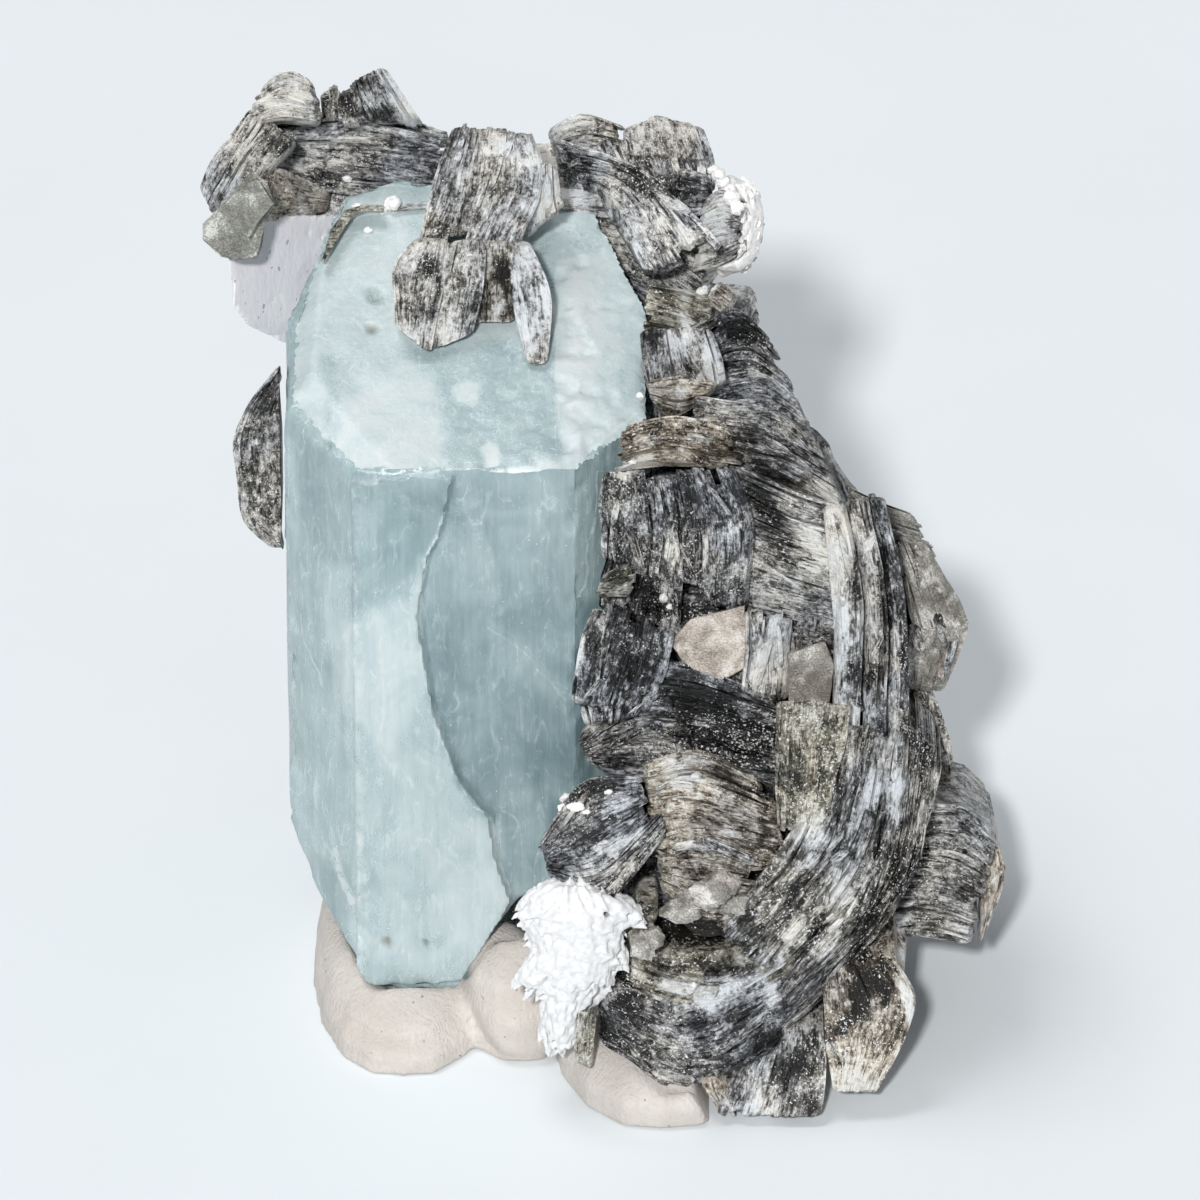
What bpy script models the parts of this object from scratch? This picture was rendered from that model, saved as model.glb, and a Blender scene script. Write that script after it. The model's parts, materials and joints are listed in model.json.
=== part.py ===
"""Aquamarine crystal grown with muscovite books, standing on two dabs of mounting putty.

Metres, +Z up. The display side faces -Y. Every outline is drawn on one sheet of graph paper that
shows the specimen from its display side, DISPLAY_TILT above the floor: a drawing point is
(steps across, steps down), and `front` says how many millimetres it lies behind the base's front.
A muscovite book is a stack of leaves between a first and a last drawn line. The grown-together
books are joined in one solid, which stays GAP clear of its neighbours.
"""
import math
import random

import bmesh
import bpy
from mathutils import Vector

# Driving dimensions, in metres unless they say otherwise.
DISPLAY_HEIGHT = 0.07525      # height of the specimen as its display side shows it
DRAWN_HEIGHT = 1075           # steps of graph paper which that height takes
DRAWN_FOOT = (600, 1135)      # drawing point at the middle of the base's front
DRAWN_EYE_ROW = 600           # row that the eye is level with
DISPLAY_TILT = math.radians(31)
SIGHT_DISTANCE = 0.9          # from the eye to the base's front
GAP = 0.0003                  # clearance between neighbouring pieces
LIFT = 0.0006                 # lowest that anything but the putty comes to the floor
WELDS = (0.00001, 0.000003, 0)  # corners closer than this are one corner, coarsest first
FLAT_ENOUGH = math.radians(1)  # faces that meet at less than this are one face
SOLVER = "MANIFOLD"           # dozens of leaves meet at grazing angles, which EXACT leaves open
MM = 0.001

STEP = DISPLAY_HEIGHT / DRAWN_HEIGHT
TILT_SIN = math.sin(DISPLAY_TILT)
TILT_COS = math.cos(DISPLAY_TILT)

# Aquamarine prism: corners of its plan (mm across, mm back), and its heights in mm.
PRISM_PLAN = ((-17.2, 13.4), (-1.6, 13.4), (3.4, 19.0), (3.4, 28.0), (-0.8, 37.2), (-17.4, 38.6),
              (-22.3, 27.4), (-22.2, 19.6))
PRISM_FOOT = 3.7
PRISM_FRONT_TOP = 46.2
TERMINATION_SLOPE = math.radians(20)
SLAB_PROUD = 0.7              # how far the raised slab stands out of the front face, in mm


def sight_point(across, down, back):
    """World point on the sight line through a drawing point, `back` mm behind the base's front."""
    right = (across - DRAWN_FOOT[0]) * STEP
    height = (DRAWN_FOOT[1] - down) * STEP
    eye_height = (DRAWN_FOOT[1] - DRAWN_EYE_ROW) * STEP
    rise = (height - eye_height) / SIGHT_DISTANCE
    nearer = (TILT_SIN * height - back * MM) / (TILT_COS + TILT_SIN * rise)
    height -= rise * nearer
    right *= 1 - nearer / SIGHT_DISTANCE
    return Vector((right, TILT_SIN * height - TILT_COS * nearer,
                   TILT_COS * height + TILT_SIN * nearer))


def drawn_line(points, back_from, back_to):
    """World points of a drawn line whose depth changes evenly from its start to its end."""
    last = len(points) - 1
    return [sight_point(across, down, back_from + (back_to - back_from) * i / last)
            for i, (across, down) in enumerate(points)]


def along(line, s):
    """Point at fraction s of a smooth curve through the line's points (Catmull-Rom)."""
    span = len(line) - 1
    i = min(int(s * span), span - 1)
    f = s * span - i
    before = line[i - 1] if i else 2 * line[0] - line[1]
    after = line[i + 2] if i + 2 <= span else 2 * line[span] - line[span - 1]
    return 0.5 * (2 * line[i] + (line[i + 1] - before) * f
                  + (2 * before - 5 * line[i] + 4 * line[i + 1] - after) * f ** 2
                  + (3 * line[i] - before - 3 * line[i + 1] + after) * f ** 3)


# ---------------------------------------------------------------- muscovite books

# A leaf's outline: (fraction along the book's lines, fraction of its depth), a blunt hexagon.
LEAF = ((0, 0.3), (0.1, 0), (0.5, 0), (0.9, 0), (1, 0.3), (0.95, 1), (0.05, 1))

mica_books = []


def keep_book(name, first, last, into, leaves):
    """Remember one book: its first and last line, and the way its leaves run back."""
    mica_books.append({"name": name, "first": first, "last": last, "into": into, "leaves": leaves})


def way_in(deep, fall=DISPLAY_TILT):
    """Step of `deep` mm straight back into the specimen, falling at an angle."""
    return Vector((0, math.cos(fall), -math.sin(fall))) * deep * MM


def book(name, first, last, front, deep, dip=None, leaves=3):
    """A drawn book. front: one depth, or those of (first start, first end, last start, last end).

    Its leaves run back along the sight line, or fall at `dip` degrees.
    """
    corners = front if isinstance(front, tuple) else (front,) * 4
    into = way_in(deep) if dip is None else way_in(deep, math.radians(dip))
    keep_book(name, drawn_line(first, *corners[:2]), drawn_line(last, *corners[2:]), into, leaves)


def plate(name, first, last, front, thick):
    """Leaves that lie nearly face-on: a drawn four-sided flake, `thick` mm through."""
    book(name, first, last, front, thick, leaves=2)


def turned_book(name, at, facing, lie, size, bend=0.0, leaves=2):
    """A book on a side that isn't drawn.

    at: middle of its outer face in mm; facing: degrees from the display side, to the right;
    lie: slope of its leaves in degrees; size: length, thickness and depth in mm; bend: sag in mm.
    """
    turn, slope = math.radians(facing), math.radians(lie)
    outward = Vector((math.sin(turn), -math.cos(turn), 0))
    right = Vector((math.cos(turn), math.sin(turn), 0))
    run = right * math.cos(slope) + Vector((0, 0, math.sin(slope)))
    rise = Vector((0, 0, math.cos(slope))) - right * math.sin(slope)
    length, thickness, depth = (value * MM for value in size)
    middle = Vector(at) * MM
    lines = [[middle + rise * thickness * side / 2 + run * length * end / 2
              + rise * bend * MM * (1 - end * end) for end in (-1, 0, 1)] for side in (1, -1)]
    keep_book(name, lines[0], lines[1], -outward * depth, leaves)


def lone_book(name, first, last, front, deep, leaves, seed, grow=0.0):
    """Mesh of a book that stands clear of the others."""
    item = {"name": name, "first": drawn_line(first, front, front), "leaves": leaves,
            "last": drawn_line(last, front, front), "into": way_in(deep)}
    return book_mesh(item, seed, grow)


def crown_books():
    """The books over the top of the aquamarine, left to right."""
    book("knob", [(254, 90), (283, 71), (316, 82)], [(246, 128), (283, 118), (324, 126)], 34, 9)
    book("left_band", [(252, 103), (220, 145), (197, 190)], [(300, 140), (262, 178), (222, 238)],
         34, 8)
    plate("left_plates", [(254, 172), (214, 196), (198, 220)], [(268, 176), (262, 236), (250, 257)],
          30.5, 7)
    plate("left_foot", [(232, 190), (204, 214), (226, 256)], [(266, 182), (266, 220), (256, 258)],
          29.5, 6)
    book("beam", [(262, 124), (355, 111), (450, 128)], [(256, 164), (325, 192), (450, 206)], 40, 8)
    book("beam_under", [(262, 162), (292, 172), (332, 192)], [(262, 216), (292, 208), (330, 206)],
         (34, 40, 34, 40), 5)
    book("small_peak", [(320, 88), (322, 120)], [(340, 80), (338, 120)], 38, 6, leaves=2)
    book("peak", [(338, 88), (340, 128)], [(383, 62), (402, 92), (426, 128)], 37, 9)
    book("hanging_block", [(456, 121), (432, 190), (412, 256)], [(532, 128), (541, 180), (520, 250)],
         (33, 25, 33, 25), 9)
    book("hanging_left", [(416, 236), (396, 265), (393, 330)], [(484, 240), (482, 290), (468, 346)],
         (25, 22.5, 25, 22.5), 7)
    book("hanging_middle", [(468, 236), (466, 324)], [(516, 240), (513, 324)], 25.5, 6)
    book("hanging_right", [(510, 240), (513, 305), (530, 372)], [(530, 240), (552, 295), (547, 364)],
         (26, 22, 26, 22), 5)
    book("hanging_shoulder", [(530, 160), (518, 244)], [(557, 162), (567, 212)], 29, 5, leaves=2)
    book("small_knob", [(544, 130), (580, 115), (628, 125)], [(548, 152), (590, 150), (630, 150)],
         39, 7)
    book("upper_right", [(597, 138), (606, 162), (622, 182)], [(700, 122), (714, 165), (712, 204)],
         (37, 35, 37, 33), 10)
    book("upper_right_peak", [(636, 128), (640, 150)], [(680, 114), (690, 150)], 36, 8, leaves=2)
    book("sweep", [(548, 136), (640, 182), (724, 262)], [(560, 205), (612, 207), (652, 300)],
         (39, 29, 39, 29), 10)
    book("grey_knob", [(700, 205), (722, 191), (744, 202)], [(690, 272), (722, 264), (744, 252)],
         31, 7)
    book("lens", [(646, 280), (690, 288), (717, 300)], [(640, 330), (680, 336), (714, 342)], 25, 9)
    book("column", [(638, 318), (642, 370), (650, 408)], [(712, 326), (722, 360), (725, 388)],
         19, 10)
    book("column_foot", [(646, 380), (690, 376), (724, 384)], [(650, 404), (674, 418), (716, 392)],
         18.5, 6, leaves=2)


def upper_mass_books():
    """The right-hand mass above the middle of the aquamarine."""
    book("dark_top", [(706, 318), (738, 310), (772, 338)], [(700, 420), (765, 410), (816, 434)],
         22, 14, leaves=4)
    book("wedge", [(690, 395), (765, 405), (818, 440)], [(700, 470), (790, 485), (850, 515)],
         16, 12)
    book("brown_band", [(622, 426), (680, 416), (738, 430)], [(612, 474), (665, 462), (745, 472)],
         14, 10)
    book("blunt_block", [(606, 470), (600, 515), (602, 562)], [(732, 464), (757, 530), (749, 622)],
         9.5, 13, leaves=4)
    book("combed_fan", [(735, 462), (800, 492), (850, 508)], [(742, 640), (800, 650), (846, 660)],
         10.5, 12, leaves=4)
    book("green_flake", [(637, 556), (600, 575)], [(640, 596), (594, 596)], 9, 5, leaves=2)
    book("dark_corner", [(604, 552), (602, 612)], [(684, 556), (680, 650)], 11.5, 6, leaves=2)
    book("tongue", [(596, 592), (580, 650), (569, 706)], [(676, 628), (664, 680), (646, 716)],
         8, 10, leaves=4)
    book("tongue_tip", [(574, 700), (586, 733)], [(650, 700), (636, 720)], 8, 8, leaves=2)
    plate("pale_face", [(674, 632), (682, 664), (712, 688)], [(746, 612), (750, 650), (748, 674)],
          8.3, 6)
    plate("silver_plates", [(748, 616), (746, 662), (742, 694)], [(832, 610), (830, 655), (824, 702)],
          8, 6)
    book("spine", [(826, 505), (842, 620), (836, 775)], [(884, 492), (906, 610), (908, 770)],
         (10, 7, 12, 10), 14, leaves=4)
    book("far_top", [(846, 484), (885, 503), (917, 514)], [(868, 535), (905, 550), (941, 560)],
         19, 11)
    book("far_middle", [(890, 540), (910, 615), (930, 690)], [(925, 538), (955, 590), (972, 624)],
         17, 12)
    book("far_lower", [(893, 620), (900, 690)], [(972, 622), (942, 694)], 17, 10)
    book("far_edge", [(896, 660), (904, 740), (920, 800)], [(922, 660), (950, 745), (946, 805)],
         19, 10)


def lower_mass_books():
    """The right-hand mass from the middle of the aquamarine down to the putty."""
    book("black_block", [(575, 738), (655, 664), (786, 700)], [(584, 760), (640, 784), (790, 800)],
         9, 12, leaves=4)
    book("curved_block", [(776, 700), (772, 760), (776, 832)], [(852, 700), (842, 765), (826, 832)],
         7, 10)
    book("cushion", [(536, 846), (580, 781), (642, 776)], [(550, 880), (602, 908), (672, 830)],
         3.5, 11, leaves=5)
    book("lump_high", [(640, 765), (700, 748), (778, 790)], [(648, 850), (710, 870), (790, 870)],
         5.5, 12)
    book("lump_low", [(650, 840), (700, 828), (770, 850)], [(664, 905), (700, 936), (742, 928)],
         5, 10)
    book("small_crystal", [(630, 910), (664, 914)], [(628, 958), (655, 968)], 5, 5, dip=0, leaves=2)
    book("bundle", [(838, 716), (800, 836), (712, 944)], [(912, 730), (886, 880), (800, 985)],
         (6, 4, 8, 3.5), 14, leaves=4)
    book("outer_sheets", [(904, 720), (880, 872), (792, 980)], [(945, 766), (893, 920), (734, 1090)],
         (9, 3, 10, 2), 12, dip=10, leaves=4)
    book("right_fan", [(924, 808), (965, 814), (1000, 842)], [(872, 944), (925, 940), (976, 954)],
         12, 12, dip=15, leaves=4)
    book("fan_rim", [(960, 814), (994, 860), (978, 950)], [(972, 816), (1006, 872), (984, 944)],
         14, 7, dip=15, leaves=2)
    book("low_right", [(820, 965), (826, 1035), (834, 1098)], [(894, 957), (914, 1005), (888, 1104)],
         (5, 1.5, 6, 1.5), 12, dip=0, leaves=4)
    book("pale_wedge", [(698, 1090), (722, 1131)], [(724, 1086), (740, 1128)], 0.6, 4, dip=0,
         leaves=2)
    book("bottom_book", [(758, 1034), (732, 1075), (720, 1126)], [(822, 1030), (828, 1075), (816, 1124)],
         (3.5, 0.4, 3.5, 0.4), 8, dip=0, leaves=4)
    book("basin", [(632, 962), (720, 975), (800, 940)], [(600, 1010), (690, 1040), (800, 975)],
         (5, 5, 3.4, 3.4), 12, dip=5, leaves=3)
    book("basin_rim", [(604, 998), (690, 1020), (790, 980)], [(596, 1052), (690, 1098), (790, 1052)],
         (3.2, 3.2, 1.6, 1.6), 12, dip=0, leaves=4)


def back_books():
    """The books on the right side and the back, from the bottom up."""
    turned_book("back_low_right", (20, 30, 9), 110, 25, (17, 13, 12), bend=1.2)
    turned_book("back_low_middle", (10, 40, 9), 165, -20, (20, 14, 14), bend=1.5)
    turned_book("back_low_left", (-8, 43, 8), 190, 15, (20, 12, 10), bend=-1.0)
    turned_book("back_right", (23, 27, 22), 95, 75, (18, 12, 12), bend=1.5)
    turned_book("back_middle", (12, 41, 24), 160, 60, (20, 16, 14), bend=1.5)
    turned_book("back_centre", (-4, 45, 21), 185, -35, (18, 14, 10), bend=1.0)
    turned_book("back_upper_right", (13, 30, 37), 120, 50, (14, 11, 10), bend=1.0)
    turned_book("back_upper", (5, 41, 38), 165, -15, (17, 13, 14), bend=1.5)
    turned_book("back_upper_left", (-11, 45, 37), 190, 65, (18, 12, 10), bend=-1.0)
    turned_book("back_shoulder", (3, 40, 50), 160, 20, (13, 9, 10), bend=1.0)
    turned_book("back_crown", (-10, 45, 49), 180, -10, (22, 9, 9), bend=1.2)
    turned_book("back_left", (-19, 43, 46), 205, 35, (13, 9, 9), bend=1.0)


# Solid ground inside the mass, so that the leaves meet: corners in mm.
RIGHT_HEART = ((1, 10, 2), (13, 9, 2), (19, 13, 4), (18, 34, 2), (0, 36, 2), (3, 12, 24),
               (14, 12, 24), (19, 16, 26), (19, 33, 22), (4, 39, 26), (3, 14, 38), (12, 16, 42),
               (14, 22, 38), (9, 32, 42), (3, 36, 48), (6, 26, 47))
CROWN_HEART = ((-22, 41, 50), (-22, 43, 54), (-6, 42, 48), (-6, 44, 54), (5, 39, 50), (5, 42, 55),
               (-14, 44, 45), (3, 43, 44))


def leaf_ring(item, t, inset, grow):
    """World points round one leaf at fraction t of the book, drawn in by `inset` all round."""
    run = (item["first"][-1] - item["first"][0]).normalized()
    back = item["into"].normalized()
    ring = []
    for corner_s, corner_b in LEAF:
        s = 0.5 + (corner_s - 0.5) * (1 - inset)
        b = corner_b + inset * 0.5 * (1 - corner_b)
        point = along(item["first"], s).lerp(along(item["last"], s), t) + item["into"] * b
        point += (run * (corner_s - 0.5) + back * (corner_b - 0.5)) * 2 * grow
        if point.z < LIFT + 2 * grow:
            point.z = -MM if grow else LIFT
        ring.append(point)
    return ring


def book_mesh(item, seed, grow=0.0):
    """Closed stepped stack of a book's leaves."""
    draw = random.Random(seed)
    bm = bmesh.new()
    rings = []
    leaves = item["leaves"]
    spread = grow / min((item["last"][end] - item["first"][end]).length for end in (0, -1))
    for leaf in range(leaves):
        inset = draw.choice((0, 0.03, 0.08, 0.13)) if 0 < leaf < leaves - 1 else draw.choice((0.0, 0.06))
        low = (leaf + 0.03) / leaves if leaf else -spread
        high = (leaf + 0.97) / leaves if leaf < leaves - 1 else 1 + spread
        for t in (low, high):
            rings.append([bm.verts.new(p) for p in leaf_ring(item, t, inset, grow)])
    for lower, upper in zip(rings, rings[1:]):
        for i in range(len(LEAF)):
            j = (i + 1) % len(LEAF)
            bm.faces.new((lower[i], lower[j], upper[j], upper[i]))
    bm.faces.new(rings[0][::-1])
    bm.faces.new(rings[-1])
    bmesh.ops.recalc_face_normals(bm, faces=bm.faces)
    if bm.calc_volume(signed=True) < 0:
        bmesh.ops.reverse_faces(bm, faces=bm.faces)
    return finished_mesh(item["name"], bm)


def hull_mesh(name, corners):
    """Convex solid through corners given in mm."""
    bm = bmesh.new()
    for corner in corners:
        bm.verts.new(Vector(corner) * MM)
    hull = bmesh.ops.convex_hull(bm, input=bm.verts)
    bmesh.ops.delete(bm, geom=[v for v in hull["geom_interior"] if v.is_valid], context="VERTS")
    bmesh.ops.recalc_face_normals(bm, faces=bm.faces)
    return finished_mesh(name, bm)


# ---------------------------------------------------------------- meshes, objects, Booleans

def finished_mesh(name, bm):
    """Turn a bmesh into a mesh of triangles."""
    bmesh.ops.triangulate(bm, faces=bm.faces)
    mesh = bpy.data.meshes.new(name)
    bm.to_mesh(mesh)
    bm.free()
    return mesh


def place_object(name, mesh):
    """Link a new object that shows the mesh."""
    item = bpy.data.objects.new(name, mesh)
    bpy.context.collection.objects.link(item)
    return item


def combined(base, others, operation, name):
    """Mesh of `base` joined with or cut by each of the other meshes in turn."""
    result = base
    for other in others:
        left, right = place_object("left", result), place_object("right", other)
        modifier = left.modifiers.new("combine", "BOOLEAN")
        modifier.operation = operation
        modifier.object = right
        modifier.solver = SOLVER
        evaluated = left.evaluated_get(bpy.context.evaluated_depsgraph_get())
        result = bpy.data.meshes.new_from_object(evaluated)
        bpy.data.objects.remove(left)
        bpy.data.objects.remove(right)
    result.name = name
    return result


def shells_of(bm):
    """The mesh's separate shells of faces, greatest area first."""
    unseen, shells = set(bm.faces), []
    while unseen:
        front = [unseen.pop()]
        shell = set(front)
        while front:
            for side in front.pop().edges:
                for face in side.link_faces:
                    if face in unseen:
                        unseen.remove(face)
                        shell.add(face)
                        front.append(face)
        shells.append(shell)
    return sorted(shells, key=lambda faces: -sum(face.calc_area() for face in faces))


def largest_shell(mesh):
    """Keep the widest shell: a pocket inside it is filled, and a stray crumb goes.

    Corners are welded as coarsely as leaves the skin closed.
    """
    for weld in WELDS:
        bm = bmesh.new()
        bm.from_mesh(mesh)
        if weld:
            bmesh.ops.remove_doubles(bm, verts=bm.verts, dist=weld)
            bmesh.ops.dissolve_degenerate(bm, edges=bm.edges, dist=weld)
        bmesh.ops.dissolve_limit(bm, angle_limit=FLAT_ENOUGH, verts=bm.verts, edges=bm.edges)
        bmesh.ops.triangulate(bm, faces=bm.faces)
        stray = [face for shell in shells_of(bm)[1:] for face in shell]
        bmesh.ops.delete(bm, geom=stray, context="FACES")
        loose = [vert for vert in bm.verts if not vert.link_faces]
        bmesh.ops.delete(bm, geom=loose, context="VERTS")
        if all(len(edge.link_faces) == 2 for edge in bm.edges):
            break
    return finished_mesh(mesh.name, bm)


def finish(name, mesh, colour, roughness, transmission=0.0, smooth=False):
    """Make the named object with its own material."""
    item = place_object(name, mesh)
    material = bpy.data.materials.new(name)
    material.use_nodes = True
    shader = material.node_tree.nodes["Principled BSDF"]
    shader.inputs["Base Color"].default_value = (*colour, 1.0)
    shader.inputs["Roughness"].default_value = roughness
    shader.inputs["Metallic"].default_value = 0.0
    shader.inputs["Transmission Weight"].default_value = transmission
    shader.inputs["IOR"].default_value = 1.57
    mesh.materials.clear()
    mesh.materials.append(material)
    if smooth:
        mesh.shade_smooth()
        mesh.set_sharp_from_angle(angle=math.radians(50))
    else:
        mesh.shade_flat()
    return item


# ---------------------------------------------------------------- aquamarine

def slice_off(bm, point, outward):
    """Cut away what lies outside a plane (point in mm) and close the cut."""
    geometry = bm.verts[:] + bm.edges[:] + bm.faces[:]
    cut = bmesh.ops.bisect_plane(bm, geom=geometry, plane_co=Vector(point) * MM,
                                 plane_no=Vector(outward), clear_outer=True)
    rim = [e for e in cut["geom_cut"] if isinstance(e, bmesh.types.BMEdge)]
    bmesh.ops.contextual_create(bm, geom=rim)


def prism_mesh(name, margin=0.0, foot=PRISM_FOOT):
    """The aquamarine's convex body, each face moved out by `margin` mm."""
    bm = bmesh.new()
    bmesh.ops.create_cube(bm, size=0.2)
    count = len(PRISM_PLAN)
    for i, (x, y) in enumerate(PRISM_PLAN):
        next_x, next_y = PRISM_PLAN[(i + 1) % count]
        outward = Vector((next_y - y, x - next_x, 0)).normalized()
        slice_off(bm, Vector((x, y, 0)) + outward * margin, outward)
    top = Vector((0, -math.sin(TERMINATION_SLOPE), math.cos(TERMINATION_SLOPE)))
    slice_off(bm, Vector((-10, 13.4, PRISM_FRONT_TOP)) + top * margin, top)
    bevels = [((-2.0, 14, 46.6), (0.2, -0.33, 0.92)), ((-17.4, 38.6, 53.6), (-0.35, 0.6, 0.72)),
              ((-0.8, 37.2, 53.4), (0.45, 0.5, 0.74)), ((-22, 22, 48.0), (-0.55, -0.25, 0.8)),
              ((-19.4, 17, 46.6), (-0.3, -0.5, 0.81))]
    chips = [((-21.9, 19, 13.6), (-0.93, -0.1, -0.34)), ((-20.6, 18, 9.6), (-0.84, -0.2, -0.5)),
             ((-18.3, 15, 5.7), (-0.62, -0.3, -0.72))]
    for point, outward in bevels + chips:
        outward = Vector(outward).normalized()
        slice_off(bm, Vector(point) + outward * margin, outward)
    slice_off(bm, (0, 0, foot - margin), (0.02, -0.04, -1))
    bmesh.ops.recalc_face_normals(bm, faces=bm.faces)
    return finished_mesh(name, bm)


def extruded(name, outline, y_front, y_back):
    """Closed solid: an outline in X and Z (mm) carried from y_front to y_back (mm)."""
    bm = bmesh.new()
    rings = [[bm.verts.new(Vector((x, y, z)) * MM) for x, z in outline] for y in (y_front, y_back)]
    count = len(outline)
    for i in range(count):
        j = (i + 1) % count
        bm.faces.new((rings[0][i], rings[0][j], rings[1][j], rings[1][i]))
    bm.faces.new(rings[0][::-1])
    bm.faces.new(rings[1])
    bmesh.ops.recalc_face_normals(bm, faces=bm.faces)
    return finished_mesh(name, bm)


# The raised slab's right edge, from the termination down to the foot, as drawn.
LEDGE = ((452, 480), (440, 540), (427, 562), (417, 622), (434, 717), (459, 782), (490, 821),
         (493, 855), (511, 905))
# The broken underside on the right, where the crystal's foot is missing (mm across, mm up).
FOOT_NOTCH = ((-9.8, 2.0), (-9.2, 4.4), (-7.4, 8.6), (-5.6, 11.0), (6.0, 12.4), (6.0, 2.0))


def slab_mesh(margin=0.0):
    """The raised front-left slab, with its curved fracture edge."""
    outline = []
    for across, down in LEDGE:
        point = sight_point(across, down, PRISM_PLAN[0][1] - SLAB_PROUD)
        outline.append((point.x / MM + margin, point.z / MM))
    left = PRISM_PLAN[0][0]
    foot = [(-9.8 + margin, 4.3 - margin), (-16.2, 3.9 - margin), (left - margin, 5.2)]
    head = [(left - margin, 45.0), (-12.0, 45.8)]
    front = PRISM_PLAN[0][1] - SLAB_PROUD - margin
    return extruded("slab", outline + foot + head, front, front + 3)


def aquamarine_mesh():
    """Prism, slab and broken foot in one solid."""
    body = combined(prism_mesh("aquamarine"), [slab_mesh()], "UNION", "aquamarine")
    notch = extruded("notch", FOOT_NOTCH, 5, 30)
    return combined(body, [notch], "DIFFERENCE", "aquamarine")


# ---------------------------------------------------------------- putty, apatite, albite

# Lobes of putty: middle and half-sizes in mm, and how far the back rises above the front.
LEFT_LOBE = ((-13.9, 21.5, 0.6), (6.7, 14.4, 7.2), 0.5)
MIDDLE_LOBE = ((-5.6, 20.6, 2.4), (5.4, 12.4, 8.0), 0.15)
RIGHT_LOBE = ((4.4, 15.4, 1.2), (8.2, 15.4, 6.4), 0.3)


LOBE_SQUARENESS = 0.12        # how far a lobe's corners are filled out


def lobe_mesh(centre, radii, lean, margin=0.0):
    """A pressed ball of putty, flat where it stands, its skin moved out by `margin` mm."""
    bm = bmesh.new()
    bmesh.ops.create_uvsphere(bm, u_segments=18, v_segments=9, radius=1)
    for vert in bm.verts:
        x, y, z = vert.co
        square = 1 + LOBE_SQUARENESS * abs(x * y)
        vert.co = Vector((centre[0] + (radii[0] + margin) * x * square,
                          centre[1] + (radii[1] + margin) * y * square,
                          centre[2] + (radii[2] + margin) * z * (1 + lean * y))) * MM
    slice_off(bm, (0, 0, -margin), (0, 0, -1))
    bmesh.ops.recalc_face_normals(bm, faces=bm.faces)
    return finished_mesh("putty", bm)


# The apatite's front face as drawn; it turns away to the right, behind the aquamarine.
APATITE = ((262, 214), (345, 212), (350, 300), (282, 323), (243, 324), (231, 305), (226, 259))
APATITE_FRONT = 33.0          # depth of its left edge, in mm
APATITE_TURN = 0.06           # mm further back for each step to the right
APATITE_BACK = (1.5, 6.0, -4.0)  # from its front face to its back face, in mm
APATITE_FOOT = ((247, 326, 35.5), (284, 346, 37), (345, 330, 41))  # its underside, with depths


def apatite_mesh(margin=0.0):
    """The stout pale crystal, its skin moved out by `margin` mm: a flat front face, an underside
    facet and a back face."""
    front = [sight_point(across, down, APATITE_FRONT + APATITE_TURN * (across - APATITE[-1][0])) / MM
             for across, down in APATITE]
    back = [point + Vector(APATITE_BACK) for point in front]
    foot = [sight_point(*corner) / MM for corner in APATITE_FOOT]
    corners = front + back + foot
    middle = sum(corners, Vector()) / len(corners)
    return hull_mesh("apatite", [corner + (corner - middle).normalized() * 2 * margin
                                 for corner in corners])


# The albite spray's outline as drawn, round from its top.
SPRAY = ((541, 888), (514, 912), (524, 938), (534, 949), (514, 984), (543, 996), (541, 1046),
         (557, 1056), (572, 1050), (590, 1005), (612, 988), (628, 960), (622, 926), (646, 918),
         (626, 900), (584, 900))

SPRAY_MIDDLE = Vector((574, 965))
# Rings from its back to its front: the outline's scale about the middle, and depth in mm.
SPRAY_RINGS = ((0.86, 9.0), (1.0, 5.0), (0.95, 3.4), (0.72, 2.3), (0.35, 1.7))


def spray_mesh():
    """The feathery albite spray: its outline in steps, each smaller and prouder."""
    middle = SPRAY_MIDDLE
    bm = bmesh.new()
    rings = []
    for scale, back in SPRAY_RINGS:
        rings.append([bm.verts.new(sight_point(middle.x + (x - middle.x) * scale,
                                               middle.y + (y - middle.y) * scale, back))
                      for x, y in SPRAY])
    count = len(SPRAY)
    for lower, upper in zip(rings, rings[1:]):
        for i in range(count):
            j = (i + 1) % count
            bm.faces.new((lower[i], lower[j], upper[j], upper[i]))
    bm.faces.new(rings[0][::-1])
    bm.faces.new(rings[-1])
    bmesh.ops.recalc_face_normals(bm, faces=bm.faces)
    return finished_mesh("spray", bm)


# The albite crust behind the crown: its middle as drawn, with its depth, and its half-sizes in mm.
CRUST = (728, 226, 35)
CRUST_RADII = (3.0, 4.5, 4.3)


def lumpy_ball(name, centre, radii, seed):
    """A small crust of crystals: a ball with facets pushed in and out."""
    draw = random.Random(seed)
    bm = bmesh.new()
    bmesh.ops.create_icosphere(bm, subdivisions=2, radius=1)
    for vert in bm.verts:
        reach = draw.uniform(0.84, 1.0)
        vert.co = Vector([centre[i] + radii[i] * vert.co[i] * reach for i in range(3)]) * MM
    bmesh.ops.recalc_face_normals(bm, faces=bm.faces)
    return finished_mesh(name, bm)


# The bent mica flake that lies on the termination: its middle line as drawn, and its size in mm.
FLAKE = ((384, 208), (366, 207), (349, 212), (336, 231), (322, 263))
FLAKE_HALF_WIDTH = 0.45
FLAKE_THICKNESS = 0.6


def on_termination(across, down, above):
    """Point of the termination seen at a drawing point, raised `above` mm straight off it."""
    near, far = sight_point(across, down, 0), sight_point(across, down, 40)
    normal = Vector((0, -math.sin(TERMINATION_SLOPE), math.cos(TERMINATION_SLOPE)))
    origin = Vector((-10, 13.4, PRISM_FRONT_TOP + above / normal.z)) * MM
    reach = (origin - near).dot(normal) / (far - near).dot(normal)
    return near.lerp(far, reach)


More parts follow.
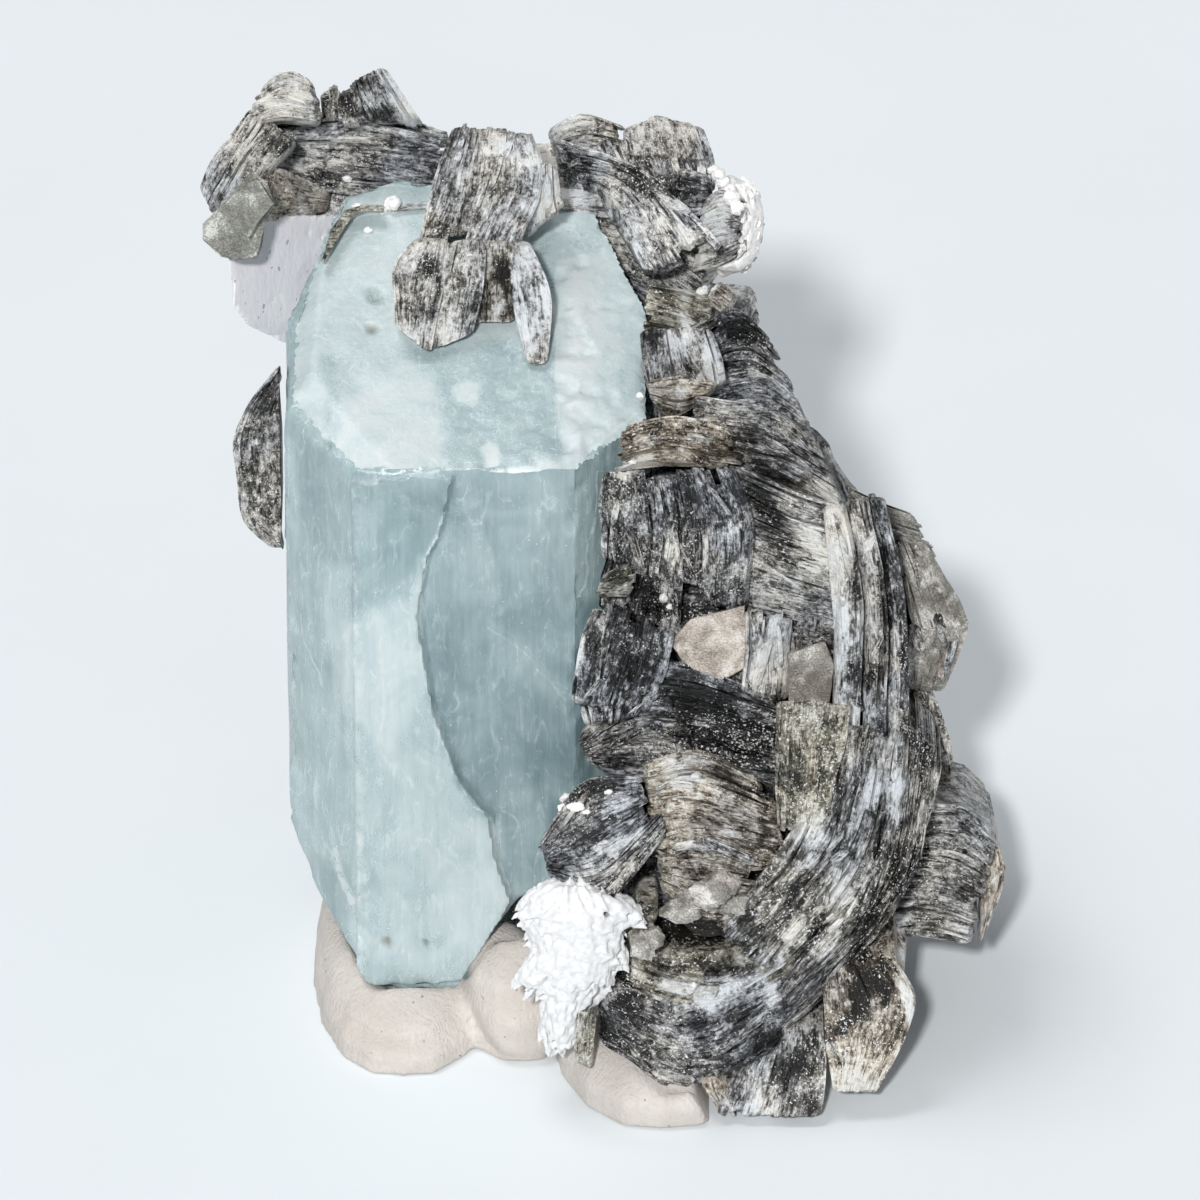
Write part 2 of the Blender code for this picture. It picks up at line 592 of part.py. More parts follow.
def flake_mesh():
    """The bent flake, GAP clear of the termination and pointed at its lower end."""
    bm = bmesh.new()
    rings = []
    for i, (across, down) in enumerate(FLAKE):
        ends = FLAKE[max(i - 1, 0)], FLAKE[min(i + 1, len(FLAKE) - 1)]
        run = on_termination(*ends[1], 0) - on_termination(*ends[0], 0)
        side = run.cross(Vector((0, 0, 1))).normalized() * FLAKE_HALF_WIDTH * MM
        side *= 0.2 if i == len(FLAKE) - 1 else 1
        low = on_termination(across, down, GAP / MM * 1.5)
        high = on_termination(across, down, GAP / MM * 1.5 + FLAKE_THICKNESS)
        rings.append([bm.verts.new(p) for p in (low - side, low + side, high + side, high - side)])
    for lower, upper in zip(rings, rings[1:]):
        for i in range(4):
            j = (i + 1) % 4
            bm.faces.new((lower[i], lower[j], upper[j], upper[i]))
    bm.faces.new(rings[0][::-1])
    bm.faces.new(rings[-1])
    bmesh.ops.recalc_face_normals(bm, faces=bm.faces)
    return finished_mesh("flake", bm)


def splinter_mesh(grow=0.0):
    """The small greenish splinter below the albite spray."""
    return lone_book("splinter", [(579, 1006), (575, 1064)], [(597, 1012), (592, 1071)],
                     2.4, 1.6, leaves=2, seed=5, grow=grow)


def left_book_mesh():
    """The bent book that clings to the aquamarine's left side."""
    return lone_book("left_book", [(268, 362), (240, 414), (235, 462), (239, 522), (266, 550)],
                     [(300, 368), (292, 415), (290, 460), (292, 505), (306, 546)], 22, 8,
                     leaves=5, seed=6)


# ---------------------------------------------------------------- the specimen

def mica_mesh(grow=0.0):
    """All the grown-together books in one solid."""
    books = [book_mesh(item, seed, grow) for seed, item in enumerate(mica_books)]
    hearts = [hull_mesh("right_heart", RIGHT_HEART), hull_mesh("crown_heart", CROWN_HEART)]
    return combined(hearts[0], hearts[1:] + books, "UNION", "mica")


def standing_at_origin(items):
    """Move every piece so that the origin is at the middle of the specimen's foot."""
    corners = [vert.co for item in items for vert in item.data.vertices]
    middle = Vector([(min(c[i] for c in corners) + max(c[i] for c in corners)) / 2 for i in (0, 1)])
    for item in items:
        for vert in item.data.vertices:
            vert.co.x -= middle.x
            vert.co.y -= middle.y


# Gaps wider than GAP, as its multiples, where the shapes taper.
LEAF_CLEARANCE = 1.4
PUTTY_CLEARANCE = 1.3
LOW_FOOT = 2.0                # depth, in mm, to which the room cut for the aquamarine goes on


def main():
    for item in list(bpy.data.objects):
        bpy.data.objects.remove(item)
    crown_books()
    upper_mass_books()
    lower_mass_books()
    back_books()

    margin = GAP / MM
    aquamarine = aquamarine_mesh()
    wide_prism = [prism_mesh("wide", margin, foot=LOW_FOOT), slab_mesh(margin)]
    mica = combined(mica_mesh(), wide_prism + [apatite_mesh(margin)], "DIFFERENCE", "mica")
    left_book = combined(left_book_mesh(), wide_prism, "DIFFERENCE", "left_book")
    apatite = combined(apatite_mesh(), wide_prism, "DIFFERENCE", "apatite")

    wide_mica = mica_mesh(grow=LEAF_CLEARANCE * GAP)
    neighbours = wide_prism + [wide_mica]
    putty_skins = [lobe_mesh(*lobe, margin=PUTTY_CLEARANCE * margin)
                   for lobe in (LEFT_LOBE, MIDDLE_LOBE, RIGHT_LOBE)]
    crust = lumpy_ball("crust", sight_point(*CRUST) / MM, CRUST_RADII, seed=3)
    crust = combined(crust, neighbours, "DIFFERENCE", "crust")
    splinter = combined(splinter_mesh(), neighbours + putty_skins, "DIFFERENCE", "splinter")
    spray = combined(spray_mesh(), neighbours + putty_skins + [splinter_mesh(GAP)],
                     "DIFFERENCE", "spray")

    wide_crystal = combined(prism_mesh("wide", margin), [slab_mesh(margin)], "UNION", "wide")
    left = combined(lobe_mesh(*LEFT_LOBE), [lobe_mesh(*MIDDLE_LOBE)], "UNION", "putty")
    left = combined(left, [lobe_mesh(*RIGHT_LOBE, margin=margin), wide_crystal, wide_mica],
                    "DIFFERENCE", "putty")
    right = combined(lobe_mesh(*RIGHT_LOBE), [wide_mica, wide_crystal], "DIFFERENCE", "putty")

    pieces = [
        finish("aquamarine_crystal", aquamarine, (0.55, 0.72, 0.76), 0.15, transmission=0.6),
        finish("mica_cluster", largest_shell(mica), (0.16, 0.15, 0.14), 0.35),
        finish("mica_left_book", largest_shell(left_book), (0.20, 0.19, 0.17), 0.35),
        finish("mica_flake", flake_mesh(), (0.30, 0.29, 0.25), 0.3),
        finish("mica_splinter", largest_shell(splinter), (0.38, 0.38, 0.32), 0.3),
        finish("apatite_crystal", largest_shell(apatite), (0.82, 0.78, 0.84), 0.35),
        finish("albite_spray", largest_shell(spray), (0.93, 0.93, 0.94), 0.5),
        finish("albite_crust", largest_shell(crust), (0.88, 0.86, 0.82), 0.5),
        finish("putty_left", largest_shell(left), (0.78, 0.74, 0.70), 0.6, smooth=True),
        finish("putty_right", largest_shell(right), (0.78, 0.74, 0.70), 0.6, smooth=True),
    ]
    standing_at_origin(pieces)


main()
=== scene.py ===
"""Looks of the aquamarine specimen: pale blue crystal, muscovite books, apatite, albite, putty.

Metres, +Z up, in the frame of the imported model. The outlines are drawn on the same sheet of graph
paper as the solids: a drawing point is (steps across, steps down), and a depth says how many
millimetres it lies behind the base's front. A muscovite book is a stack of sheets between a first
and a last drawn line, and every fine piece stands where its solid stands.
"""
import itertools
import json
import math
import random
from collections import defaultdict

import bmesh
import bpy
import numpy as np
from mathutils import Matrix, Vector

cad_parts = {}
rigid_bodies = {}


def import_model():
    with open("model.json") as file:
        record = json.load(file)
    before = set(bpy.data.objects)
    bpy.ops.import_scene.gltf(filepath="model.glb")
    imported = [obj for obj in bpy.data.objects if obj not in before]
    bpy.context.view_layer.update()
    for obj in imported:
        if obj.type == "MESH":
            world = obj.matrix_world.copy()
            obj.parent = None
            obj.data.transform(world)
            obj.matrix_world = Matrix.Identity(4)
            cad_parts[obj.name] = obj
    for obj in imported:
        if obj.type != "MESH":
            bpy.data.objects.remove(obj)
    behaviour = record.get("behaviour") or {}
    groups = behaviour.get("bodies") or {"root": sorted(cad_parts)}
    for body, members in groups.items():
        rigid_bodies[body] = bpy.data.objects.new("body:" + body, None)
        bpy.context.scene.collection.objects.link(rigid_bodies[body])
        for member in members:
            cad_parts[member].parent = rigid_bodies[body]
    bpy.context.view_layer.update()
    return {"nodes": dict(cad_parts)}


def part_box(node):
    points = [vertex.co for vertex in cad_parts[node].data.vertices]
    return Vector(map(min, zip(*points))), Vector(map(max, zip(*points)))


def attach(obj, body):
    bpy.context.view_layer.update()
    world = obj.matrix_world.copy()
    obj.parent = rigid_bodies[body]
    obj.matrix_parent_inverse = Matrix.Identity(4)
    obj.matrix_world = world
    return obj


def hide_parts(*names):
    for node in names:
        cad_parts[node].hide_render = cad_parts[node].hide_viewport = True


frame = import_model()

# ---------------------------------------------------------------- driving dimensions

MM = 0.001
STEP = 0.07525 / 1075         # one step of graph paper
VIEW_STEPS = 1200             # steps across the whole view
DRAWN_FOOT = (600, 1135)      # drawing point at the middle of the base's front
DRAWN_EYE_ROW = 600           # row that the eye is level with
DISPLAY_TILT = math.radians(31)
SIGHT_DISTANCE = 0.9          # from the eye to the base's front
TILT_SIN, TILT_COS = math.sin(DISPLAY_TILT), math.cos(DISPLAY_TILT)
TOWARD_EYE = np.array((0, -TILT_COS, TILT_SIN))          # a direction, of length 1
GAP = 0.3                     # clearance of the muscovite to the aquamarine, in mm
LIFT = 0.7                    # lowest that the muscovite comes to the floor, in mm
PATTERN_STEP = 0.07           # mm that a drawn step takes up in a pattern

# Aquamarine prism, in mm: corners of its plan (across, back), and its front face.
PRISM_PLAN = ((-17.2, 13.4), (-1.6, 13.4), (3.4, 19.0), (3.4, 28.0), (-0.8, 37.2), (-17.4, 38.6),
              (-22.3, 27.4), (-22.2, 19.6))
PRISM_FRONT = 13.4
PRISM_FRONT_TOP = 46.2
SLAB_PROUD = 0.7              # how far the raised slab stands out of the front face
TERMINATION_SLOPE = math.radians(20)
TERMINATION_NORMAL = (0, -math.sin(TERMINATION_SLOPE), math.cos(TERMINATION_SLOPE))
# The faces across its ends: (point on the face, direction outward).
PRISM_ENDS = (((-10, PRISM_FRONT, PRISM_FRONT_TOP), TERMINATION_NORMAL),
              ((-2.0, 14, 46.6), (0.2, -0.33, 0.92)),
              ((-0.8, 37.2, 53.4), (0.45, 0.5, 0.74)),
              ((0, 0, 3.7), (0, 0, -1)))

# The solids stand with the middle of their foot at the origin, which moves the drawing.
crystal_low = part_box("aquamarine_crystal")[0]
SHIFT = np.array((crystal_low.x / MM - min(x for x, y in PRISM_PLAN),
                  crystal_low.y / MM - (PRISM_FRONT - SLAB_PROUD), 0.0))


# ---------------------------------------------------------------- drawing, lines and noise

def sight(across, down, back):
    """Points in mm, in the frame, on the sight lines through drawing points at depths `back`."""
    across, down, back = np.broadcast_arrays(*(np.asarray(v, float) for v in (across, down, back)))
    right = (across - DRAWN_FOOT[0]) * STEP
    height = (DRAWN_FOOT[1] - down) * STEP
    rise = (height - (DRAWN_FOOT[1] - DRAWN_EYE_ROW) * STEP) / SIGHT_DISTANCE
    nearer = (TILT_SIN * height - back * MM) / (TILT_COS + TILT_SIN * rise)
    height = height - rise * nearer
    right = right * (1 - nearer / SIGHT_DISTANCE)
    return np.stack((right, TILT_SIN * height - TILT_COS * nearer,
                     TILT_COS * height + TILT_SIN * nearer), -1) / MM + SHIFT


def drawn(places):
    """Drawing points (across, down) at which places in mm are seen."""
    x, y, z = ((places - SHIFT)[..., k] * MM for k in range(3))
    height = TILT_SIN * y + TILT_COS * z
    nearer = (TILT_SIN * z - TILT_COS * y) / SIGHT_DISTANCE
    eye = (DRAWN_FOOT[1] - DRAWN_EYE_ROW) * STEP
    return (DRAWN_FOOT[0] + x / (1 - nearer) / STEP,
            DRAWN_FOOT[1] - (height - eye * nearer) / (1 - nearer) / STEP)


def smooth_line(points, samples=65):
    """Points evenly spaced in parameter along a Catmull-Rom curve through the given ones."""
    points = np.asarray(points, float)
    points = np.vstack((2 * points[0] - points[1], points, 2 * points[-1] - points[-2]))
    place = np.linspace(0, len(points) - 3, samples)
    i = np.minimum(place.astype(int), len(points) - 4)
    f = (place - i)[:, None]
    a, b, c, d = points[i], points[i + 1], points[i + 2], points[i + 3]
    return 0.5 * (2 * b + (c - a) * f + (2 * a - 5 * b + 4 * c - d) * f ** 2
                  + (3 * b - a - 3 * c + d) * f ** 3)


def drawn_line(points, back_from, back_to):
    """Smooth line in mm through drawing points whose depth changes evenly along it."""
    points = np.asarray(points, float)
    return smooth_line(sight(points[:, 0], points[:, 1],
                             np.linspace(back_from, back_to, len(points))))


def on_line(line, s):
    """Points at fractions s (an array of any shape) of a sampled line."""
    place = np.clip(s, 0, 1) * (len(line) - 1)
    return np.stack([np.interp(place, np.arange(len(line)), line[:, k]) for k in range(3)], -1)


def to_line(across, down, line, closed=False):
    """(distance in steps, side) of drawn points from a drawn line.

    The side is +1 or -1, and 0 beyond the ends of an open line; a closed one has +1 inside.
    """
    line = np.asarray(line, float)
    ends = np.roll(line, -1, 0) if closed else line[1:]
    points = np.stack((across, down), -1)
    nearest, side = np.full(points.shape[:-1], np.inf), np.zeros(points.shape[:-1])
    crossings = np.zeros(points.shape[:-1], int)
    for i, (a, b) in enumerate(zip(line, ends)):
        way = b - a
        t = ((points - a) @ way) / (way @ way)
        off = points - a - np.clip(t, 0, 1)[..., None] * way
        distance = np.hypot(off[..., 0], off[..., 1])
        here = distance < nearest
        open_end = ((t < 0) & (i == 0)) | ((t > 1) & (i == len(ends) - 1))
        turn = np.sign(way[0] * (points[..., 1] - a[1]) - way[1] * (points[..., 0] - a[0]))
        side = np.where(here, np.where(open_end, 0, turn), side)
        nearest = np.where(here, distance, nearest)
        if way[1]:
            spans = (a[1] > points[..., 1]) != (b[1] > points[..., 1])
            at = a[0] + (points[..., 1] - a[1]) / way[1] * way[0]
            crossings += spans & (points[..., 0] < at)
    return nearest, (np.where(crossings % 2, 1.0, -1.0) if closed else side)


def hole(across, down, at, radius):
    """1 at a drawn point, falling smoothly to 0 at the radius."""
    near = np.clip(1.25 - np.hypot(across - at[0], down - at[1]) / radius, 0, 1)
    return near * near * (3 - 2 * near)


def hashed(i, j, k, seed):
    """Repeatable random numbers from 0 to 1 at whole-numbered places."""
    h = (i * 374761393 + j * 668265263 + k * 1440662683 + seed * 974634777) & 0xFFFFFFFF
    h = ((h ^ (h >> 13)) * 1274126177) & 0xFFFFFFFF
    return ((h ^ (h >> 16)) & 0xFFFF) / 0xFFFF


def noise(places, size, seed=0):
    """Smooth noise from 0 to 1 at places (..., 3); size: width of its lumps, one number or three."""
    p = np.asarray(places, float) / size
    cell = np.floor(p).astype(np.int64)
    f = p - cell
    f = f * f * (3 - 2 * f)
    total = 0.0
    for dx in (0, 1):
        for dy in (0, 1):
            for dz in (0, 1):
                weight = (np.abs(1 - dx - f[..., 0]) * np.abs(1 - dy - f[..., 1])
                          * np.abs(1 - dz - f[..., 2]))
                total = total + weight * hashed(cell[..., 0] + dx, cell[..., 1] + dy,
                                                cell[..., 2] + dz, seed)
    return total


def fractal(places, size, seed=0, octaves=3):
    """Noise with finer noise on it, from 0 to 1."""
    size = np.asarray(size, float)
    total = sum(noise(places, size / 2 ** n, seed + 17 * n) / 2 ** n for n in range(octaves))
    return total / (2 - 2 / 2 ** octaves)


def unit(vector):
    """Vectors brought to a length of 1."""
    vector = np.asarray(vector, float)
    return vector / np.linalg.norm(vector, axis=-1, keepdims=True)


def sunk(places, depth):
    """Places of a closed solid moved inward, towards their middle, by `depth` mm."""
    return places + unit(places.mean(0) - places) * depth[:, None]


# ---------------------------------------------------------------- the prism as half-spaces

def prism_planes(margin):
    """(points on, outward normals of) the prism's faces, moved out by `margin` mm."""
    planes = []
    for i, (x, y) in enumerate(PRISM_PLAN):
        next_x, next_y = PRISM_PLAN[(i + 1) % len(PRISM_PLAN)]
        planes.append(((x, y, 0), (next_y - y, x - next_x, 0)))
    planes += PRISM_ENDS
    normals = unit([normal for point, normal in planes])
    points = np.array([point for point, normal in planes]) + SHIFT + normals * margin
    return points, normals


def face_depths(places, margin):
    """How deep places lie under each face of the prism, moved out by `margin` mm."""
    points, normals = prism_planes(margin)
    return np.stack([((point - places) * normal).sum(-1) for point, normal in zip(points, normals)])


def pushed_out(places):
    """Places moved straight out of the prism where they lie in it."""
    depths = face_depths(places, GAP)
    normals = prism_planes(0)[1]
    return places + normals[depths.argmin(0)] * np.clip(depths.min(0), 0, None)[..., None]


FAR = 1e9                     # farther than anything, in mm
ALONG = 1e-9                  # least speed towards a face, for a direction that runs along it


def free_run(places, way):
    """How far each place can go along a direction before it meets the prism, in mm."""
    points, normals = prism_planes(GAP)
    enter, leave = np.full(places.shape[:-1], -FAR), np.full(places.shape[:-1], FAR)
    for point, normal in zip(points, normals):
        speed = way @ normal
        reach = ((point - places) @ normal) / (speed if abs(speed) > ALONG else ALONG)
        if speed < 0:
            enter = np.maximum(enter, reach)
        else:
            leave = np.minimum(leave, reach)
    return np.where((enter < leave) & (leave > 0), np.maximum(enter, 0), FAR)


# ---------------------------------------------------------------- meshes from rings of points

def triangle_mesh(name, places, triangles, **point_values):
    """Mesh from places in mm and triangles; point_values are attributes, one row per place."""
    mesh = bpy.data.meshes.new(name)
    mesh.vertices.add(len(places))
    mesh.vertices.foreach_set("co", (places * MM).astype(np.float32).ravel())
    mesh.loops.add(triangles.size)
    mesh.loops.foreach_set("vertex_index", triangles.astype(np.int32).ravel())
    mesh.polygons.add(len(triangles))
    mesh.polygons.foreach_set("loop_start", np.arange(0, triangles.size, 3, dtype=np.int32))
    mesh.update(calc_edges=True)
    for key, values in point_values.items():
        kind, field = ("FLOAT_VECTOR", "vector") if values.ndim == 2 else ("FLOAT", "value")
        data = mesh.attributes.new(key, kind, "POINT").data
        data.foreach_set(field, values.astype(np.float32).ravel())
    return mesh


def remeshed(mesh, grain, soften=0):
    """(places in mm, triangles) of a mesh remeshed to even faces of `grain` mm, then softened."""
    item = bpy.data.objects.new("remesh", mesh)
    bpy.context.collection.objects.link(item)
    modifier = item.modifiers.new("remesh", "REMESH")
    modifier.mode = "VOXEL"
    modifier.voxel_size = grain * MM
    if soften:
        smoothing = item.modifiers.new("soften", "SMOOTH")
        smoothing.factor = 0.5
        smoothing.iterations = soften
    item.modifiers.new("triangles", "TRIANGULATE")
    evaluated = item.evaluated_get(bpy.context.evaluated_depsgraph_get())
    fine = evaluated.to_mesh()
    places = np.empty(len(fine.vertices) * 3, np.float32)
    fine.vertices.foreach_get("co", places)
    triangles = np.empty(len(fine.polygons) * 3, np.int32)
    fine.polygons.foreach_get("vertices", triangles)
    evaluated.to_mesh_clear()
    bpy.data.objects.remove(item)
    return places.reshape(-1, 3).astype(float) / MM, triangles.reshape(-1, 3)


def ring_triangles(rings, count):
    """Triangles that join `rings` closed rings of `count` points each, one after the other."""
    r, n = np.meshgrid(np.arange(rings - 1), np.arange(count), indexing="ij")
    a, b = r * count + n, r * count + (n + 1) % count
    c, d = b + count, a + count
    return np.concatenate((np.stack((a, b, c), -1).reshape(-1, 3),
                           np.stack((a, c, d), -1).reshape(-1, 3)))


CAP_SCALES = (0.66, 0.3)      # rings inside an end face, before its middle point


def closed_rings(places, values):
    """Closed solid from rings of places (R, N, 3), with point values (R, N, ...) carried along.

    Each end gets smaller rings of its own and a middle point.
    """
    def cap(ring):
        middle = ring.mean(0)
        return [middle + (ring - middle) * scale for scale in CAP_SCALES]

    count = places.shape[1]
    places = np.stack([*cap(places[0])[::-1], *places, *cap(places[-1])])
    values = [np.stack([*cap(v[0])[::-1], *v, *cap(v[-1])]) for v in values]
    rings = len(places)
    triangles = ring_triangles(rings, count)
    n = np.arange(count)
    low, high = rings * count, rings * count + 1
    low_fan = np.stack((np.full(count, low), (n + 1) % count, n), -1)
    top = (rings - 1) * count
    high_fan = np.stack((np.full(count, high), top + n, top + (n + 1) % count), -1)

    def flat(v):
        tail = v.shape[2:]
        return np.concatenate((v.reshape(-1, *tail), v[0].mean(0)[None], v[-1].mean(0)[None]))

    return flat(places), np.concatenate((triangles, low_fan, high_fan)), [flat(v) for v in values]


def outward(places, triangles):
    """The triangles, turned over if they face inward."""
    a, b, c = (places[triangles[:, k]] for k in range(3))
    volume = (a * np.cross(b, c)).sum()
    return triangles if volume > 0 else triangles[:, ::-1]


TINT_STRENGTH = 0.25          # lightness that one unit of tint adds to the muscovite
# Lighter and darker places of the muscovite as drawn, partly its own tone and frosting, partly painted
# sheen where sheets catch the light and painted shade in hollows and slots: middle, half length, half
# width, turn in degrees, and lightness added, in hundredths.
SHEEN_SHADE_AND_TONE_MARKS = (
    # Whole parts of the mass.
    (470, 200, 330, 130, 0, 12), (668, 236, 80, 45, 45, 14), (800, 900, 170, 130, -45, -8),
    # Crown, left.
    (285, 103, 30, 8, 0, 34), (300, 92, 10, 22, 0, 25), (275, 90, 16, 5, 0, -20), (275, 78, 22, 9, 0, 18),
    (242, 158, 50, 7, 112, 28), (210, 185, 26, 12, 115, 8), (400, 130, 38, 8, 5, 30),
    (420, 160, 25, 14, 0, -18), (280, 150, 20, 12, 10, -18), (290, 164, 42, 6, 8, 25),
    (340, 160, 28, 5, 12, 25), (322, 178, 16, 9, 20, -32), (320, 103, 12, 12, 0, -35),
    (350, 105, 25, 11, 10, -32), (392, 118, 20, 7, 20, -30), (401, 92, 34, 9, 62, 36),
    (380, 65, 9, 6, 0, 30), (368, 95, 8, 9, 0, 25), (408, 120, 8, 6, 0, 45), (330, 135, 50, 14, 5, 8),
    # Crown, middle.
    (522, 150, 24, 16, 25, 34), (546, 156, 14, 14, 0, 34), (437, 228, 12, 10, 0, -28),
    (447, 150, 26, 7, 100, -14), (545, 195, 30, 13, 120, 36), (428, 268, 13, 8, 70, -60),
    (439, 285, 22, 4, 90, -40), (504, 278, 20, 9, 82, -65), (485, 300, 15, 15, 0, -28),
    (495, 312, 8, 6, 0, 40), (430, 338, 36, 12, -10, 28), (410, 285, 12, 16, 0, 12),
    (546, 290, 16, 4, 88, 50), (530, 262, 12, 9, 50, 30), (535, 335, 26, 13, 80, 18),
    (578, 122, 22, 12, 0, 20), (597, 130, 14, 8, 70, -25), (575, 177, 24, 14, 55, -35),
    (593, 150, 10, 6, 0, 30), (606, 165, 12, 8, 60, 20), (480, 180, 24, 40, 0, 5),
    # Crown, right.
    (650, 140, 40, 16, 5, 6), (690, 132, 14, 8, 40, 25), (665, 187, 42, 14, 8, -38),
    (628, 168, 16, 6, 0, -28), (668, 220, 14, 10, 30, 25), (696, 258, 30, 9, 68, 45),
    (695, 272, 8, 8, 0, 45), (684, 292, 9, 7, 0, 50), (706, 289, 8, 8, 0, 60), (716, 226, 24, 12, 50, 20),
    (672, 238, 16, 4, 68, -35), (681, 260, 16, 4, 72, -32), (655, 243, 14, 4, 60, -20),
    (655, 285, 14, 8, 60, -30), (672, 302, 9, 9, 0, -38), (640, 215, 36, 10, 35, 12),
    (722, 213, 14, 12, 0, 18), (740, 238, 18, 5, 85, -20), (722, 262, 9, 8, 0, -18),
    (650, 335, 16, 11, 60, -30), (675, 342, 11, 9, 0, 50), (688, 330, 18, 6, 70, 45),
    (690, 372, 20, 5, 85, -32), (712, 366, 28, 11, 78, 60), (672, 392, 20, 8, 0, 16),
    # Right-hand mass.
    (742, 332, 32, 14, 12, -45), (785, 390, 42, 6, 62, 25), (770, 472, 36, 12, 35, -32),
    (765, 510, 32, 12, 72, -50), (781, 545, 16, 12, 50, -35), (815, 542, 32, 14, 55, 45),
    (836, 503, 26, 9, 62, 38), (845, 565, 60, 7, 88, 32), (856, 580, 30, 4, 88, -60),
    (871, 590, 52, 7, 88, 28), (887, 600, 42, 4, 88, -42), (895, 665, 90, 4, 88, 26),
    (862, 672, 24, 15, 30, -48), (910, 555, 14, 5, 0, -30), (925, 610, 20, 15, 20, -38),
    (936, 565, 15, 12, 50, 50), (951, 602, 42, 5, 62, 35), (960, 645, 26, 7, 105, 30),
    (907, 650, 38, 5, 88, -60), (916, 735, 36, 12, 65, -48), (895, 762, 50, 5, 88, 36),
    (641, 461, 20, 7, -10, 45), (624, 473, 9, 8, 0, 40), (620, 545, 30, 10, 88, -18),
    (672, 554, 30, 8, 86, 36), (666, 590, 14, 6, 80, 50), (728, 551, 30, 26, 0, 26),
    (722, 586, 30, 18, 0, -14), (674, 608, 42, 12, 5, -38), (640, 645, 50, 26, 105, -16),
    (578, 655, 32, 6, 98, 42), (588, 722, 9, 12, 0, 45), (660, 672, 38, 5, 108, 45),
    (700, 700, 62, 22, 15, -48), (735, 745, 46, 28, 0, -42), (775, 655, 36, 16, 90, 30),
    (842, 620, 22, 6, 88, 50), (640, 585, 40, 8, 10, -25),
    # Lower mass.
    (802, 830, 22, 12, -10, 35), (852, 740, 42, 14, 80, 20), (872, 790, 32, 12, 110, 45),
    (895, 800, 42, 7, 100, 40), (838, 780, 26, 4, 95, -42), (846, 822, 26, 4, 100, -32),
    (842, 885, 30, 15, 112, 45), (815, 842, 20, 18, 0, 30), (790, 870, 18, 12, 110, 28),
    (880, 850, 52, 7, 105, -42), (860, 930, 42, 8, 105, -40), (816, 935, 28, 5, 115, -48),
    (800, 888, 14, 7, 120, -30), (781, 930, 26, 5, 115, -38), (795, 930, 32, 5, 115, 42),
    (831, 940, 30, 8, 110, 28), (871, 885, 36, 4, 105, 42), (775, 945, 22, 4, 120, 40),
    (914, 835, 52, 5, 108, 38), (600, 790, 34, 9, -15, -28), (620, 805, 27, 6, -18, 45),
    (611, 846, 22, 6, -18, 50), (585, 872, 32, 11, -15, 34), (575, 815, 14, 8, 0, 22),
    (630, 882, 26, 6, -30, -30), (590, 893, 30, 7, 15, -26), (670, 765, 42, 9, -12, 22),
    (690, 782, 32, 12, 12, 34), (742, 792, 24, 9, 10, -25), (702, 822, 42, 22, 0, 16),
    (735, 850, 20, 9, -20, -14), (690, 932, 34, 13, 0, -80), (765, 805, 32, 5, 95, -36),
    (700, 964, 62, 8, 4, -34), (725, 992, 62, 18, -8, 26), (778, 995, 10, 9, 0, 40),
    (625, 980, 20, 8, 85, -75), (610, 1030, 20, 18, 0, -28), (770, 1042, 32, 8, -35, -32),
    (800, 1028, 52, 5, -42, 30), (655, 1070, 42, 8, 12, 16), (870, 980, 26, 18, 120, -48),
    (850, 1020, 32, 9, -40, -46), (790, 1068, 26, 22, 0, -36), (762, 1108, 32, 10, 0, 38),
    (850, 1082, 36, 18, 0, 44), (907, 1000, 32, 6, 80, 50), (905, 870, 42, 13, 112, -42),
    (965, 935, 16, 8, 20, 30))


def sheen_shade_and_tone(places, strata):
    """Lightness that the drawn marks add at places in mm, tone as well as painted sheen and painted shade,
    with edges that fray along the sheets.
    """
    across, down = drawn(places)
    fray = -0.4 + 1.4 * (fractal(places, 0.9, 71) + fractal(strata, (2.5, 0.4, 0.8), 72))
    result = np.zeros(len(places))
    for x, y, length, width, turn, amount in SHEEN_SHADE_AND_TONE_MARKS:
        c, s = math.cos(math.radians(turn)), math.sin(math.radians(turn))
        off = np.hypot(((across - x) * c + (down - y) * s) / length,
                       ((down - y) * c - (across - x) * s) / width) * fray
        result += np.clip(1.6 * (1.2 - off), 0, 1) * amount / 100
    return result


class Pile:
    """Closed solids that are shown as one piece."""

    def __init__(self):
        self.places, self.triangles, self.strata, self.tint, self.total = [], [], [], [], 0

    def add(self, rings, strata, tint):
        """Add the solid that the rings describe; strata and tint go to its material."""
        places, triangles, (strata, tint) = closed_rings(rings, (strata, tint))
        self.add_mesh(places, outward(places, triangles), strata, tint)

    def add_mesh(self, places, triangles, strata, tint):
        """Add triangles that face outward; tint: one number, or one for each place."""
        self.places.append(places)
        self.triangles.append(triangles + self.total)
        self.strata.append(strata)
        self.tint.append(np.broadcast_to(tint, len(places)))
        self.total += len(places)

    def mesh(self, name, marks=False):
        """All of it as one mesh; marks: whether the drawn marks of tone, painted sheen and painted shade
        change its tint.
        """
        places, strata = np.concatenate(self.places), np.concatenate(self.strata)
        tint = np.concatenate(self.tint)
        if marks:
            tint = tint + sheen_shade_and_tone(places, strata) / TINT_STRENGTH
        return triangle_mesh(name, places, np.concatenate(self.triangles), strata=strata, tint=tint)


# ---------------------------------------------------------------- muscovite sheets

SHEET = 0.22                  # thickness of a sheet, in mm
SHEET_SPREAD = (0.5, 1.6)     # range of the sheets' thicknesses, against one another
SHEET_MARGIN = 0.05           # share of its room that a sheet leaves free on either side
EDGE_STEP = 0.36              # distance between points along a sheet's edge, in mm
ROUNDING = 0.35               # how far a book's outer sheets and ends draw back, in mm
PACKET_CHANCE = 0.3           # that a sheet starts a new packet
LARGEST_RETREAT = 0.16        # share of a book's length that either end may draw back
